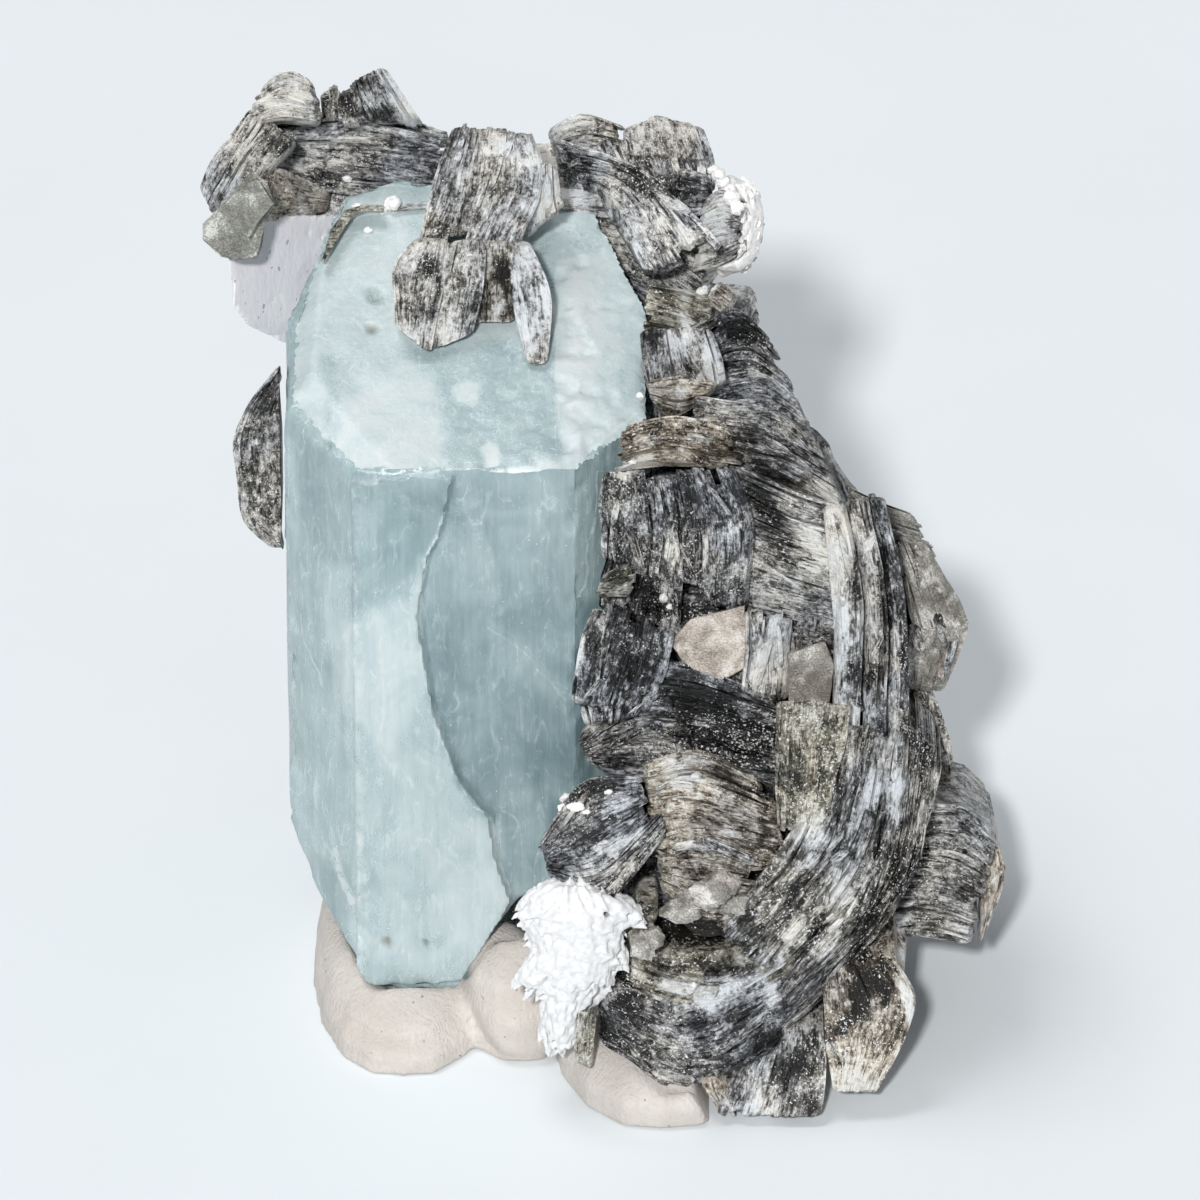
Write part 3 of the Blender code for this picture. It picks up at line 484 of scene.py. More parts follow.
# A sheet's outline past its front edge: share of its length, share of its depth, and how much of
# the front's brokenness it takes on.
SHEET_BACK = ((1, 0.6, 0.5), (0.96, 1, 0), (0.6, 1, 0), (0.3, 1, 0), (0.04, 1, 0), (0, 0.6, 0.5))
STEPPED, SLIT = 0.4, 0.07     # chances that a stretch is broken back, and that a sheet has slits
PATTERN_SPREAD = 60           # mm over which the patterns of the books are scattered

piles = defaultdict(Pile)
book_seeds = itertools.count(1)


def rounded(fraction, width):
    """0 in the middle of a span, rising to 1 in a quarter circle within `width` of both ends."""
    near = np.clip(1 - np.minimum(fraction, 1 - fraction) / width, 0, 1)
    return 1 - np.sqrt(1 - near ** 2)


def front_inset(draw, seed, run, spot, level, thick, packet, of_ring):
    """How far back a book's front is broken, in mm, with a row of points for each ring.

    Packets are broken back in steps, single sheets by less, and all of it wavers a little.
    run: mm along the sheets; level: each ring's share of the thickness; of_ring: its sheet.
    """
    many = packet.max() + 1
    ring = np.broadcast_to(of_ring[:, None], run.shape)
    in_packet = packet[ring]
    cell = draw.uniform(1.6, 5.0, many)[in_packet]
    plot = np.floor(run / cell + draw.random(many)[in_packet]).astype(np.int64)
    chance = hashed(plot, in_packet, 0, seed)
    inset = np.where(chance > 1 - STEPPED, chance - 0.5, 0.0)
    plot = np.floor(run / draw.uniform(0.7, 2.6, len(packet))[ring] + ring * 0.37).astype(np.int64)
    inset += hashed(plot, ring, 1, seed) * 0.16
    inset += draw.gamma(1.0, 0.12, many)[in_packet]
    slit = (draw.random(len(level)) < SLIT)[:, None]
    inset += np.where(slit & (hashed(np.floor(run / 3.1).astype(np.int64), ring, 2, seed) > 0.45), 0.6, 0)
    inset += draw.uniform(0, 0.12, len(level))[:, None]
    inset += rounded(level, min(0.45, 1.0 / thick))[:, None] * ROUNDING
    inset += noise(spot, (2.6, 1.8, 1), seed) * 0.7 + noise(spot, (0.5, 0.3, 1), seed + 1) * 0.08
    return inset


def book_solid(tone, first, last, into, seed, sheet=SHEET, step=EDGE_STEP, ragged=1.0):
    """A fine book: sheets between two sampled lines, which go back by the vector `into`, in mm."""
    draw = np.random.default_rng(seed)
    depth = float(np.linalg.norm(into))
    back = into / depth
    length = np.linalg.norm(np.diff((first + last) / 2, axis=0), axis=1).sum()
    thick = np.linalg.norm(last - first, axis=1).mean()
    sheets = max(2, round(thick / sheet))

    # Each sheet is two rings of points, with levels from 0 at the first line to 1 at the last.
    width = draw.uniform(*SHEET_SPREAD, sheets)
    edge = np.concatenate(([0], np.cumsum(width))) / width.sum()
    level = np.stack((edge[:-1] + SHEET_MARGIN / sheets, edge[1:] - SHEET_MARGIN / sheets), -1).ravel()
    packet = np.cumsum(draw.random(sheets) < PACKET_CHANCE)
    many = packet.max() + 1
    of_ring = np.repeat(np.arange(sheets), 2)

    # Round one sheet: a fine front edge with rounded corners, plain ends and back.
    fine = np.linspace(0, 1, max(5, round(length / step)))
    corner = min(0.3, 0.5 / length)
    rounding = rounded(fine, corner) * min(0.5, 2 * ROUNDING / depth)
    back_share, back_deep, back_broken = zip(*SHEET_BACK)
    share = np.concatenate((fine, back_share))
    deep = np.concatenate((rounding, back_deep))
    broken = np.concatenate((np.ones(len(fine)), back_broken))

    # Each packet ends where it likes, and so does each sheet, by less.
    end = np.stack([draw.gamma(1.0, 0.25, many)[packet] + draw.uniform(0, 0.15, sheets)
                    for side in range(2)]) * ragged / length
    end = np.minimum(end, LARGEST_RETREAT)[:, of_ring]
    span = rounded(level, min(0.4, 0.8 / thick)) * min(0.2, ROUNDING / length)
    low, high = end[0] + span, 1 - end[1] - span
    share = low[:, None] + (high - low)[:, None] * share
    run = share * length
    across = level[:, None] * thick
    spot = np.stack(np.broadcast_arrays(run, across, seed * 7.7), -1)
    inset = front_inset(draw, seed, run, spot, level, thick, packet, of_ring) * ragged

    # Sheets wave a little together.
    waver = (noise(spot, (3.2, 2.4, 1), seed + 2) - 0.5) * min(0.5, thick * 0.15) / thick
    wavy = np.clip(level[:, None] + waver, -0.05, 1.05)[..., None]
    base = on_line(first, share) * (1 - wavy) + on_line(last, share) * wavy
    room = np.minimum(free_run(base, back), depth)
    inset = np.minimum(inset, np.maximum(room - 0.2, 0)) * broken
    reach = inset + deep * np.maximum(room - inset, 0.05)
    rings = pushed_out(base + reach[..., None] * back)
    rings[..., 2] = np.maximum(rings[..., 2], LIFT)

    strata = np.stack((run, np.broadcast_to(across, run.shape), reach), -1)
    strata = strata + draw.uniform(0, PATTERN_SPREAD, 3)
    tint = (draw.random(many)[packet] * 0.5 + draw.random(sheets) * 0.3)[of_ring][:, None]
    rim = rounded(level, min(0.4, 0.5 / thick))[:, None] + rounded(share, min(0.3, 0.6 / length))
    piles[tone].add(rings, strata, tint + 0.5 * rim)


# Loose packets, in mm: range of their lengths and heights, spread of their lean, and their depth.
LOOSE_LENGTH, LOOSE_HEIGHT, LOOSE_LEAN, LOOSE_DEPTH = (1.2, 4.5), (0.2, 0.8), 0.5, 1.3
LOOSE_LIMIT = 0.8             # largest share of a book's length or thickness
LOOSE_RAGGED = 0.35


def loose_packets(first, last, into, tones, seed, per_area=0.15):
    """Short thin packets that stand proud of a book's front or lean over it.

    per_area: how many there are on a square millimetre of the front.
    """
    draw = random.Random(seed)
    back = into / np.linalg.norm(into)
    length = np.linalg.norm(np.diff((first + last) / 2, axis=0), axis=1).sum()
    thick = np.linalg.norm(last - first, axis=1).mean()
    for number in range(round(length * thick * per_area)):
        long, tall = draw.uniform(*LOOSE_LENGTH) / length, draw.uniform(*LOOSE_HEIGHT) / thick
        if max(long, tall) > LOOSE_LIMIT:
            continue
        left, low = draw.uniform(0.03, 0.97 - long), draw.uniform(0.03, 0.97 - tall)
        lean = draw.gauss(0, LOOSE_LEAN) / thick
        share = np.linspace(left, left + long, 9)
        level = low + lean * np.linspace(-0.5, 0.5, 9)
        lines = [on_line(first, share) * (1 - height[:, None]) + on_line(last, share) * height[:, None]
                 for height in (level, level + tall)]
        proud = back * draw.uniform(-0.15, 0.35)
        book_solid(draw.choice(tones), lines[0] + proud, lines[1] + proud, back * LOOSE_DEPTH,
                   seed * 1000 + number, step=0.4, ragged=LOOSE_RAGGED)


PLATE_STEP = 0.4              # distance between points round a plate, in mm


def plate_solid(shade, outline, front, sheets, seed):
    """A book seen on its face: sheets with a drawn outline, the first at depth `front`.

    shade: 0 greenish grey to 1 pale.
    """
    draw = np.random.default_rng(seed)
    outline = np.asarray(outline, float)
    middle = outline.mean(0)
    points = []
    for start, end in zip(outline, np.roll(outline, -1, 0)):
        count = max(2, round(np.linalg.norm(end - start) * STEP / MM / PLATE_STEP))
        points.append(start + (end - start) * np.linspace(0, 1, count, endpoint=False)[:, None])
    points = np.concatenate(points)
    way = points - middle
    angle = np.arctan2(way[:, 1], way[:, 0])
    rings, strata = [], []
    for k in range(sheets):
        # A sheet further forward is smaller, and each is broken along its own edges.
        plot = np.floor(angle * 1.3 + draw.random() * 6).astype(np.int64)
        cut = 0.07 * hashed(plot, k, 0, seed) * (1 - k / sheets) + 0.03 * draw.random()
        spot = np.stack((*(points * PATTERN_STEP).T, np.full(len(points), k)), -1)
        cut = cut + 0.03 * noise(spot, (0.6, 0.6, 1), seed)
        shape = middle + way * (1 - cut)[:, None]
        bump = 0.12 * noise(spot, (3, 3, 1), seed + 5)
        for back in (k * SHEET + 0.02, (k + 0.92) * SHEET):
            rings.append(sight(shape[:, 0], shape[:, 1], front + back + bump))
            strata.append(np.stack((shape[:, 0] * PATTERN_STEP, np.full(len(points), back),
                                    shape[:, 1] * PATTERN_STEP), -1))
    rings = np.stack(rings)
    strata = np.stack(strata) + draw.uniform(0, PATTERN_SPREAD, 3)
    tint = np.broadcast_to(draw.uniform(shade - 0.1, shade + 0.1, len(rings))[:, None], rings.shape[:2])
    piles["plates"].add(pushed_out(rings), strata, tint)


# ---------------------------------------------------------------- the drawn books

def book(tone, first, last, front, deep, dip=None, loose=None, ragged=1.0):
    """A drawn book and the loose packets on it.

    front: one depth, those of (start, end), or those of (first start, first end, last start,
    last end); deep: mm from front to back; dip: fall of the sheets to the back, in degrees, if they
    don't lie along the sight line; loose: tones of the packets on it.
    """
    corners = front if isinstance(front, tuple) else (front, front)
    corners = (corners * 2)[:4]
    fall = DISPLAY_TILT if dip is None else math.radians(dip)
    into = np.array((0, math.cos(fall), -math.sin(fall))) * deep
    lines = drawn_line(first, *corners[:2]), drawn_line(last, *corners[2:])
    seed = next(book_seeds)
    book_solid(tone, *lines, into, seed, ragged=ragged)
    loose_packets(*lines, into, loose or (tone, tone, "grey", "silver"), seed)


def crown():
    """The books over the top of the aquamarine, left to right."""
    # The left end, the long bar and what stands on it.
    book("silver", [(254, 90), (283, 71), (316, 82)], [(246, 128), (283, 118), (324, 126)], 34, 9)
    book("grey", [(252, 103), (220, 145), (197, 190)], [(300, 140), (262, 178), (222, 238)], 34, 8)
    book("dark", [(262, 124), (355, 111), (450, 128)], [(256, 164), (325, 192), (450, 206)], 40, 8,
         loose=("dark", "dark", "grey"))
    book("brown", [(262, 162), (292, 172), (332, 192)], [(262, 224), (292, 217), (330, 210)],
         (34, 40), 5)
    book("silver", [(320, 88), (322, 120)], [(340, 80), (338, 120)], 38, 6)
    book("grey", [(338, 88), (340, 128)], [(383, 62), (402, 92), (426, 128)], 37, 9)
    # The block over the middle, and the books that hang from it over the termination.
    book("grey", [(456, 121), (432, 190), (412, 256)], [(532, 128), (541, 180), (520, 250)],
         (33, 25), 9)
    book("grey", [(416, 236), (394, 270), (392, 326)], [(452, 238), (440, 295), (430, 354)],
         (25, 22.5), 7, ragged=0.25)
    book("grey", [(448, 238), (438, 295), (428, 353)], [(486, 240), (483, 290), (472, 334)],
         (25, 23, 25, 23.5), 7, ragged=0.25)
    book("brown", [(468, 236), (466, 324)], [(516, 240), (513, 324)], 25.5, 6, ragged=0.3)
    book("silver", [(510, 240), (513, 305), (530, 372)], [(530, 240), (552, 295), (547, 364)],
         (26, 22), 5, ragged=0.25)
    book("silver", [(530, 160), (518, 244)], [(557, 162), (567, 212)], 29, 5)
    # The right end.
    book("grey", [(544, 130), (580, 115), (628, 125)], [(548, 152), (590, 150), (630, 150)], 39, 7)
    book("dark", [(597, 138), (606, 162), (622, 182)], [(700, 122), (714, 165), (712, 204)],
         (37, 35, 37, 33), 10)
    book("dark", [(622, 128), (628, 160)], [(668, 112), (680, 160)], 36, 8, ragged=0.25)
    book("grey", [(650, 113), (656, 160)], [(696, 122), (708, 165)], 35.6, 8, ragged=0.25)
    book("dark", [(548, 136), (648, 170), (728, 250)], [(560, 186), (604, 192), (650, 280)],
         (39, 29), 10, loose=("dark", "grey", "silver"))
    book("dark", [(676, 170), (694, 172), (712, 176)], [(672, 216), (694, 216), (716, 214)], 33.5, 6,
         ragged=0.3)
    book("brown", [(716, 279), (742, 299)], [(703, 300), (727, 318)], 24, 4, ragged=0.5)
    book("grey", [(700, 205), (722, 191), (744, 202)], [(690, 272), (722, 264), (744, 252)], 31, 7)
    # From the right end down to the mass beside the aquamarine.
    book("olive", [(646, 280), (690, 288), (717, 300)], [(640, 330), (680, 336), (714, 342)], 25, 9)
    book("grey", [(638, 318), (642, 370), (650, 408)], [(712, 326), (722, 360), (725, 388)], 19, 10,
         loose=("grey", "silver", "dark"))
    book("brown", [(646, 380), (690, 376), (724, 384)], [(650, 404), (674, 418), (716, 392)],
         18.5, 6)
    # Plates at the left end.
    plate_solid(0.0, [(250, 172), (268, 180), (276, 203), (266, 218), (262, 248), (258, 258),
                      (236, 261), (220, 257), (202, 240), (202, 224), (228, 198)], 30.5, 26, 301)
    plate_solid(0.1, [(218, 211), (231, 195), (257, 176), (275, 203), (260, 222), (249, 240),
                     (228, 225)], 29.3, 6, 302)


def upper_mass():
    """The right-hand mass above the middle of the aquamarine."""
    book("dark", [(706, 318), (738, 310), (772, 338)], [(700, 420), (765, 410), (816, 434)], 22, 14)
    book("grey", [(690, 395), (765, 405), (818, 440)], [(700, 470), (790, 485), (850, 515)], 16, 12)
    book("brown", [(622, 426), (680, 416), (738, 430)], [(612, 474), (665, 462), (745, 472)],
         14, 10, loose=("brown", "grey", "silver"))
    book("dark", [(606, 470), (600, 515), (602, 562)], [(732, 464), (757, 530), (749, 622)],
         9.5, 13, loose=("dark", "dark", "grey", "silver"))
    book("grey", [(735, 462), (800, 492), (850, 508)], [(742, 640), (800, 650), (846, 660)],
         10.5, 12, loose=("dark", "grey", "silver"))
    book("olive", [(637, 556), (600, 575)], [(640, 596), (594, 596)], 9, 5)
    book("dark", [(604, 552), (602, 612)], [(684, 556), (680, 650)], 11.5, 6)
    book("dark", [(596, 592), (580, 650), (569, 706)], [(676, 628), (664, 680), (646, 716)], 8, 10,
         loose=("dark", "grey", "grey"))
    book("dark", [(574, 700), (586, 733)], [(650, 700), (636, 720)], 8, 8)
    # Plates in the middle, and the books behind and between them.
    plate_solid(1.0, [(668, 642), (690, 618), (746, 604), (748, 668), (710, 688), (684, 664)], 9.6, 14, 303)
    book("silver", [(744, 608), (746, 650), (742, 694)], [(796, 606), (792, 650), (786, 706)],
         (8.0, 8.0, 8.8, 8.8), 8, loose=("silver", "pale"))
    plate_solid(0.5, [(786, 652), (826, 640), (836, 665), (830, 706), (788, 706)], 8.6, 12, 305)
    book("grey", [(674, 616), (684, 690)], [(832, 612), (826, 706)], 10.5, 8)
    # Upright books, from the middle outward.
    book("silver", [(824, 505), (840, 620), (832, 775)], [(846, 500), (864, 615), (858, 775)],
         (9.6, 6.8), 12, loose=("silver", "grey", "dark"))
    book("grey", [(848, 498), (868, 610), (862, 770)], [(868, 494), (888, 610), (886, 765)],
         (10.4, 8), 13, loose=("silver", "grey", "dark"))
    book("dark", [(868, 493), (890, 610), (888, 768)], [(884, 492), (906, 610), (910, 760)],
         (11.6, 9.4), 14, loose=("silver", "grey", "dark"))
    # Plates on the outer side, and the book below them.
    book("plates", [(846, 484), (885, 503), (917, 514)], [(868, 535), (905, 550), (941, 560)],
         19, 11)
    book("plates", [(890, 540), (910, 615), (930, 690)], [(925, 538), (955, 590), (972, 624)],
         17, 12)
    book("plates", [(893, 620), (900, 690)], [(972, 622), (942, 694)], 17, 10)
    book("grey", [(896, 660), (904, 740), (920, 800)], [(922, 660), (950, 745), (946, 805)], 19, 10)


def lower_mass():
    """The right-hand mass from the middle of the aquamarine down to the putty."""
    book("dark", [(575, 738), (655, 664), (786, 700)], [(584, 760), (640, 784), (790, 800)], 9, 12,
         loose=("dark", "dark", "grey"))
    book("olive", [(776, 700), (772, 760), (776, 832)], [(852, 700), (842, 765), (826, 832)], 5.4, 11,
         loose=("brown",), ragged=0.5)
    book("dark", [(536, 846), (580, 781), (642, 776)], [(550, 880), (602, 908), (672, 830)],
         3.5, 11, loose=("dark", "dark", "silver"))
    book("brown", [(640, 765), (700, 748), (778, 790)], [(648, 850), (710, 870), (790, 870)],
         5.5, 12)
    book("brown", [(650, 840), (700, 828), (770, 850)], [(664, 905), (700, 936), (742, 928)], 5, 10)
    # The two books that sweep down and inward, and those outside and below them.
    book("grey", [(838, 716), (800, 836), (712, 944)], [(912, 730), (886, 880), (800, 985)],
         (6, 4, 8, 3.5), 14, loose=("silver", "silver", "dark"))
    book("grey", [(904, 720), (880, 872), (792, 980)], [(945, 766), (893, 920), (734, 1090)],
         (9, 3, 10, 2), 12, dip=10, loose=("dark", "grey", "silver"))
    book("grey", [(924, 808), (965, 814), (1000, 842)], [(872, 944), (925, 940), (976, 954)],
         12, 12, dip=15)
    book("pale", [(960, 814), (994, 860), (978, 950)], [(972, 816), (1006, 872), (984, 944)],
         14, 7, dip=15, loose=("pale",))
    book("brown", [(820, 965), (826, 1035), (834, 1098)], [(894, 957), (918, 1012), (874, 1102)],
         (5, 1.5, 6, 1.5), 12, dip=0, loose=("dark",), ragged=0.3)
    book("pale", [(698, 1090), (722, 1131)], [(724, 1086), (740, 1128)], 0.8, 4, dip=0)
    book("grey", [(758, 1034), (732, 1075), (720, 1126)], [(822, 1030), (828, 1075), (816, 1124)],
         (3.5, 0.6), 8, dip=0, loose=("grey",), ragged=0.3)
    # The foot, beside the albite spray.
    book("olive", [(632, 962), (720, 975), (800, 940)], [(600, 1010), (690, 1040), (800, 975)],
         (5, 5, 3.4, 3.4), 12, dip=5)
    book("dark", [(604, 998), (690, 1020), (790, 980)], [(596, 1052), (690, 1098), (790, 1052)],
         (3.2, 3.2, 1.6, 1.6), 12, dip=0, loose=("dark", "grey", "silver"))
    book("olive", [(630, 910), (664, 914)], [(628, 958), (655, 968)], 5, 5, dip=0, loose=("pale",))


def turned_book(tone, at, facing, lie, size, bend=0.0):
    """A book on a side that isn't drawn.

    at: middle of its outer face in mm; facing: degrees from the display side, to the right;
    lie: slope of its sheets in degrees; size: length, thickness and depth in mm; bend: sag in mm.
    """
    turn, slope = math.radians(facing), math.radians(lie)
    out = np.array((math.sin(turn), -math.cos(turn), 0))
    right = np.array((math.cos(turn), math.sin(turn), 0))
    run = right * math.cos(slope) + np.array((0, 0, math.sin(slope)))
    rise = np.array((0, 0, math.cos(slope))) - right * math.sin(slope)
    length, thickness, depth = size
    lines = [smooth_line([np.array(at) + SHIFT + rise * thickness * side / 2 + run * length * end / 2
                          + rise * bend * (1 - end * end) for end in (-1, 0, 1)])
             for side in (1, -1)]
    seed = next(book_seeds)
    book_solid(tone, *lines, -out * depth, seed, step=0.45)
    loose_packets(*lines, -out * depth, (tone, "grey", "dark", "silver"), seed, per_area=0.12)


def back_mass():
    """The books on the right side and the back, from the bottom up."""
    turned_book("grey", (20, 30, 9), 110, 25, (17, 13, 12), bend=1.2)
    turned_book("dark", (10, 40, 9), 165, -20, (20, 14, 14), bend=1.5)
    turned_book("brown", (-8, 43, 8), 190, 15, (20, 12, 10), bend=-1.0)
    turned_book("dark", (23, 27, 22), 95, 75, (18, 12, 12), bend=1.5)
    turned_book("grey", (12, 41, 24), 160, 60, (20, 16, 14), bend=1.5)
    turned_book("dark", (-4, 45, 21), 185, -35, (18, 14, 10), bend=1.0)
    turned_book("brown", (13, 30, 37), 120, 50, (14, 11, 10), bend=1.0)
    turned_book("grey", (5, 41, 38), 165, -15, (17, 13, 14), bend=1.5)
    turned_book("silver", (-8, 45, 37), 190, 65, (18, 12, 10), bend=-1.0)
    turned_book("dark", (3, 40, 50), 160, 20, (13, 9, 4), bend=1.0)
    turned_book("grey", (-6, 45, 49), 180, -10, (18, 9, 9), bend=1.2)


# Solid ground inside the mass, in the gaps between the books: corners in mm, and a seed.
HEARTS = ((((1, 10, 2), (13, 9, 2), (19, 13, 4), (18, 34, 2), (0, 36, 2), (3, 12, 24), (14, 12, 24),
            (19, 16, 26), (19, 33, 22), (4, 39, 26), (3, 14, 38), (12, 16, 42), (14, 22, 38),
            (9, 32, 42), (3, 36, 48), (6, 26, 47)), 501),
          (((-22, 41, 50), (-22, 43, 54), (-6, 42, 48), (-6, 44, 54), (5, 39, 50), (5, 42, 55),
            (-14, 44, 45), (3, 43, 44)), 502))
HEART_GRAIN, HEART_ROUGHNESS = 0.7, 1.6      # size of its faces and depth of its breaks, in mm
HEART_TINT = 0.2


def heart(corners, seed):
    """Rough dark ground: the hull of the corners, remeshed and broken up."""
    bm = bmesh.new()
    for corner in corners:
        bm.verts.new((Vector(corner) + Vector(SHIFT)) * MM)
    hull = bmesh.ops.convex_hull(bm, input=bm.verts)
    bmesh.ops.delete(bm, geom=[v for v in hull["geom_interior"] if v.is_valid], context="VERTS")
    mesh = bpy.data.meshes.new("heart")
    bm.to_mesh(mesh)
    bm.free()
    places, triangles = remeshed(mesh, HEART_GRAIN)
    places = pushed_out(sunk(places, fractal(places, (3, 3, 0.8), seed) * HEART_ROUGHNESS))
    piles["dark"].add_mesh(places, triangles, places[:, (0, 2, 1)], HEART_TINT)


# ---------------------------------------------------------------- materials

def linear(red, green, blue):
    """Linear colour of an sRGB one whose parts go from 0 to 255."""
    return tuple(c / 12.92 if c <= 0.04045 else ((c + 0.055) / 1.055) ** 2.4
                 for c in (red / 255, green / 255, blue / 255)) + (1.0,)


class Look:
    """A material under construction: a Principled shader and the nodes that feed it."""

    def __init__(self, name, **plain):
        self.material = bpy.data.materials.new(name)
        self.material.use_nodes = True
        self.tree = self.material.node_tree
        self.shader = self.tree.nodes["Principled BSDF"]
        for key, value in plain.items():
            self.shader.inputs[key.replace("_", " ")].default_value = value

    def node(self, kind, inputs=None, **settings):
        """A node whose inputs are linked to sockets or set to plain values."""
        item = self.tree.nodes.new("ShaderNode" + kind)
        for key, value in settings.items():
            setattr(item, key, value)
        for key, value in (inputs or {}).items():
            if isinstance(value, bpy.types.NodeSocket):
                self.tree.links.new(value, item.inputs[key])
            else:
                item.inputs[key].default_value = value
        return item

    def attribute(self, name, output="Fac"):
        """A value stored at the mesh's points."""
        return self.node("Attribute", attribute_name=name).outputs[output]

    def stretched(self, vector, scale):
        """The vector times `scale`, one number or one for each axis."""
        scale = scale if isinstance(scale, tuple) else (scale,) * 3
        return self.node("Mapping", {"Vector": vector, "Scale": scale}).outputs[0]

    def places(self):
        """Places in mm, for a pattern that runs through the whole piece."""
        return self.stretched(self.node("TexCoord").outputs["Object"], 1000)

    def noise(self, vector, scale, detail=3.0, roughness=0.55, distortion=0.0):
        """Noise from 0 to 1 in places stretched by `scale`."""
        return self.node("TexNoise", {"Vector": self.stretched(vector, scale), "Scale": 1.0,
                                      "Detail": detail, "Roughness": roughness,
                                      "Distortion": distortion}).outputs[0]

    def cells(self, vector, scale):
        """A random number from 0 to 1 for each cell in places stretched by `scale`."""
        cells = self.node("TexVoronoi", {"Vector": self.stretched(vector, scale), "Scale": 1.0})
        return self.node("SeparateColor", {"Color": cells.outputs["Color"]}).outputs[0]

    def math(self, operation, a, b=0.0):
        """The result of a math operation on sockets or numbers."""
        return self.node("Math", {0: a, 1: b}, operation=operation).outputs[0]

    def total(self, *terms):
        """The sum of sockets or numbers."""
        result = terms[0]
        for term in terms[1:]:
            result = self.math("ADD", result, term)
        return result

    def span(self, value, low, high, to_low=0.0, to_high=1.0):
        """The value's range low..high brought to to_low..to_high, and clamped there."""
        return self.node("MapRange", {0: value, 1: low, 2: high, 3: to_low, 4: to_high}).outputs[0]

    def ramp(self, value, *stops):
        """Colours at places (place, colour) along the value's 0..1."""
        item = self.node("ValToRGB", {"Fac": value})
        elements = item.color_ramp.elements
        while len(elements) < len(stops):
            elements.new(0.5)
        for element, (place, colour) in zip(elements, stops):
            element.position = place
            element.color = colour
        return item.outputs[0]

    def mix(self, share, a, b, **settings):
        """Colour a with a share of colour b over it."""
        item = self.node("Mix", data_type="RGBA", **settings)
        for socket, value in ((item.inputs["Factor"], share), (item.inputs[6], a),
                              (item.inputs[7], b)):
            if isinstance(value, bpy.types.NodeSocket):
                self.tree.links.new(value, socket)
            else:
                socket.default_value = value
        return item.outputs[2]

    def bump(self, height, distance):
        """Raise the surface by up to `distance` mm."""
        item = self.node("Bump", {"Height": height, "Distance": distance * MM, "Strength": 1.0})
        self.feed("Normal", item.outputs[0])

    def feed(self, name, socket):
        """Link a socket to one of the shader's inputs."""
        self.tree.links.new(socket, self.shader.inputs[name])


# Tones of muscovite: (deep shadow, body, light edge) colours, and how frosted it is. The dark and
# silver tones are partly painted shade and painted sheen: they also stand for books that face away
# from the light, and for books that catch it.
TONES = {
    "dark": (linear(14, 14, 15), linear(74, 74, 75), linear(166, 166, 168), -0.04),
    "grey": (linear(18, 17, 16), linear(96, 94, 91), linear(186, 184, 181), 0.0),
    "brown": (linear(26, 21, 15), linear(106, 97, 85), linear(192, 183, 170), 0.0),
    "silver": (linear(26, 25, 23), linear(124, 122, 119), linear(210, 209, 206), 0.07),
    "olive": (linear(36, 34, 26), linear(120, 117, 105), linear(190, 186, 174), 0.0),
    "pale": (linear(88, 79, 69), linear(172, 161, 149), linear(222, 214, 204), 0.0),
}
# The colour of the lightest frosting, and of the painted glints and specks.
SILVER_WHITE = linear(238, 238, 236)
COOL, WARM = linear(242, 246, 252), linear(255, 251, 243)      # casts over its colour, place by place
TINTS, PLAIN = (-3, 5), -0.08                # range of tints, and lightness that a tint of 0 adds


def mica_look(tone):
    """Sheets seen on edge: small flakes and short streaks along them, frosted patches, specks.

    The slits between packets are painted shade; the glints and the silver specks are painted light
    that sheet edges and tiny flakes reflect.
    """
    deep, body, light, frost = TONES[tone]
    look = Look("muscovite_" + tone, IOR=1.59, Specular_IOR_Level=0.35)
    strata = look.attribute("strata", "Vector")
    places = look.places()
    patches = look.noise(places, 0.42, detail=5.0, roughness=0.66, distortion=0.6)
    flakes = look.cells(strata, (1.0, 2.6, 1.5))
    streaks = look.noise(strata, (1.3, 5.0, 1.9), detail=5.0, roughness=0.62)
    # Glints: painted highlights, short bright dashes where sheets catch the light.
    glints = look.noise(strata, (2.1, 6.5, 2.8), detail=2.0, roughness=0.6)
    grain = look.noise(places, 3.2, detail=4.0, roughness=0.75)
    # Dark slits between the packets of sheets: painted shade.
    slit_shade = look.noise(strata, (0.6, 5.5, 1.8), detail=3.0, roughness=0.5)
    tint = look.span(look.attribute("tint"), *TINTS, *(PLAIN + TINT_STRENGTH * v for v in TINTS))
    value = look.total(look.span(slit_shade, 0.33, 0.42, -0.22, 0.04), look.span(flakes, 0, 1, 0.41, 0.65),
                       look.span(streaks, 0.36, 0.64, -0.20, 0.18), look.span(glints, 0.60, 0.68, 0, 0.30),
                       look.span(grain, 0.32, 0.68, -0.26, 0.24),
                       look.span(patches, 0.38, 0.62, frost - 0.23, frost + 0.15), tint)
    colour = look.ramp(value, (0.14, deep), (0.43, body), (0.70, light), (1.0, SILVER_WHITE))
    hue = look.noise(places, 0.16, detail=2.0)
    cast = look.mix(look.span(hue, 0.4, 0.6), COOL, WARM)
    colour = look.mix(1.0, colour, cast, blend_type="MULTIPLY")
    # Specks of silver white: painted glints of light off tiny flakes.
    specks = look.total(look.noise(places, 5.5, detail=3.0, roughness=0.6),
                        look.span(hue, 0.4, 0.6, -0.05, 0.02), look.span(patches, 0.40, 0.62, -0.03, 0.03))
    look.feed("Base Color", look.mix(look.span(specks, 0.595, 0.64), colour, SILVER_WHITE))
    look.feed("Roughness", look.span(value, 0.2, 0.9, 0.38, 0.22))
    look.bump(value, 0.11)
    return look.material


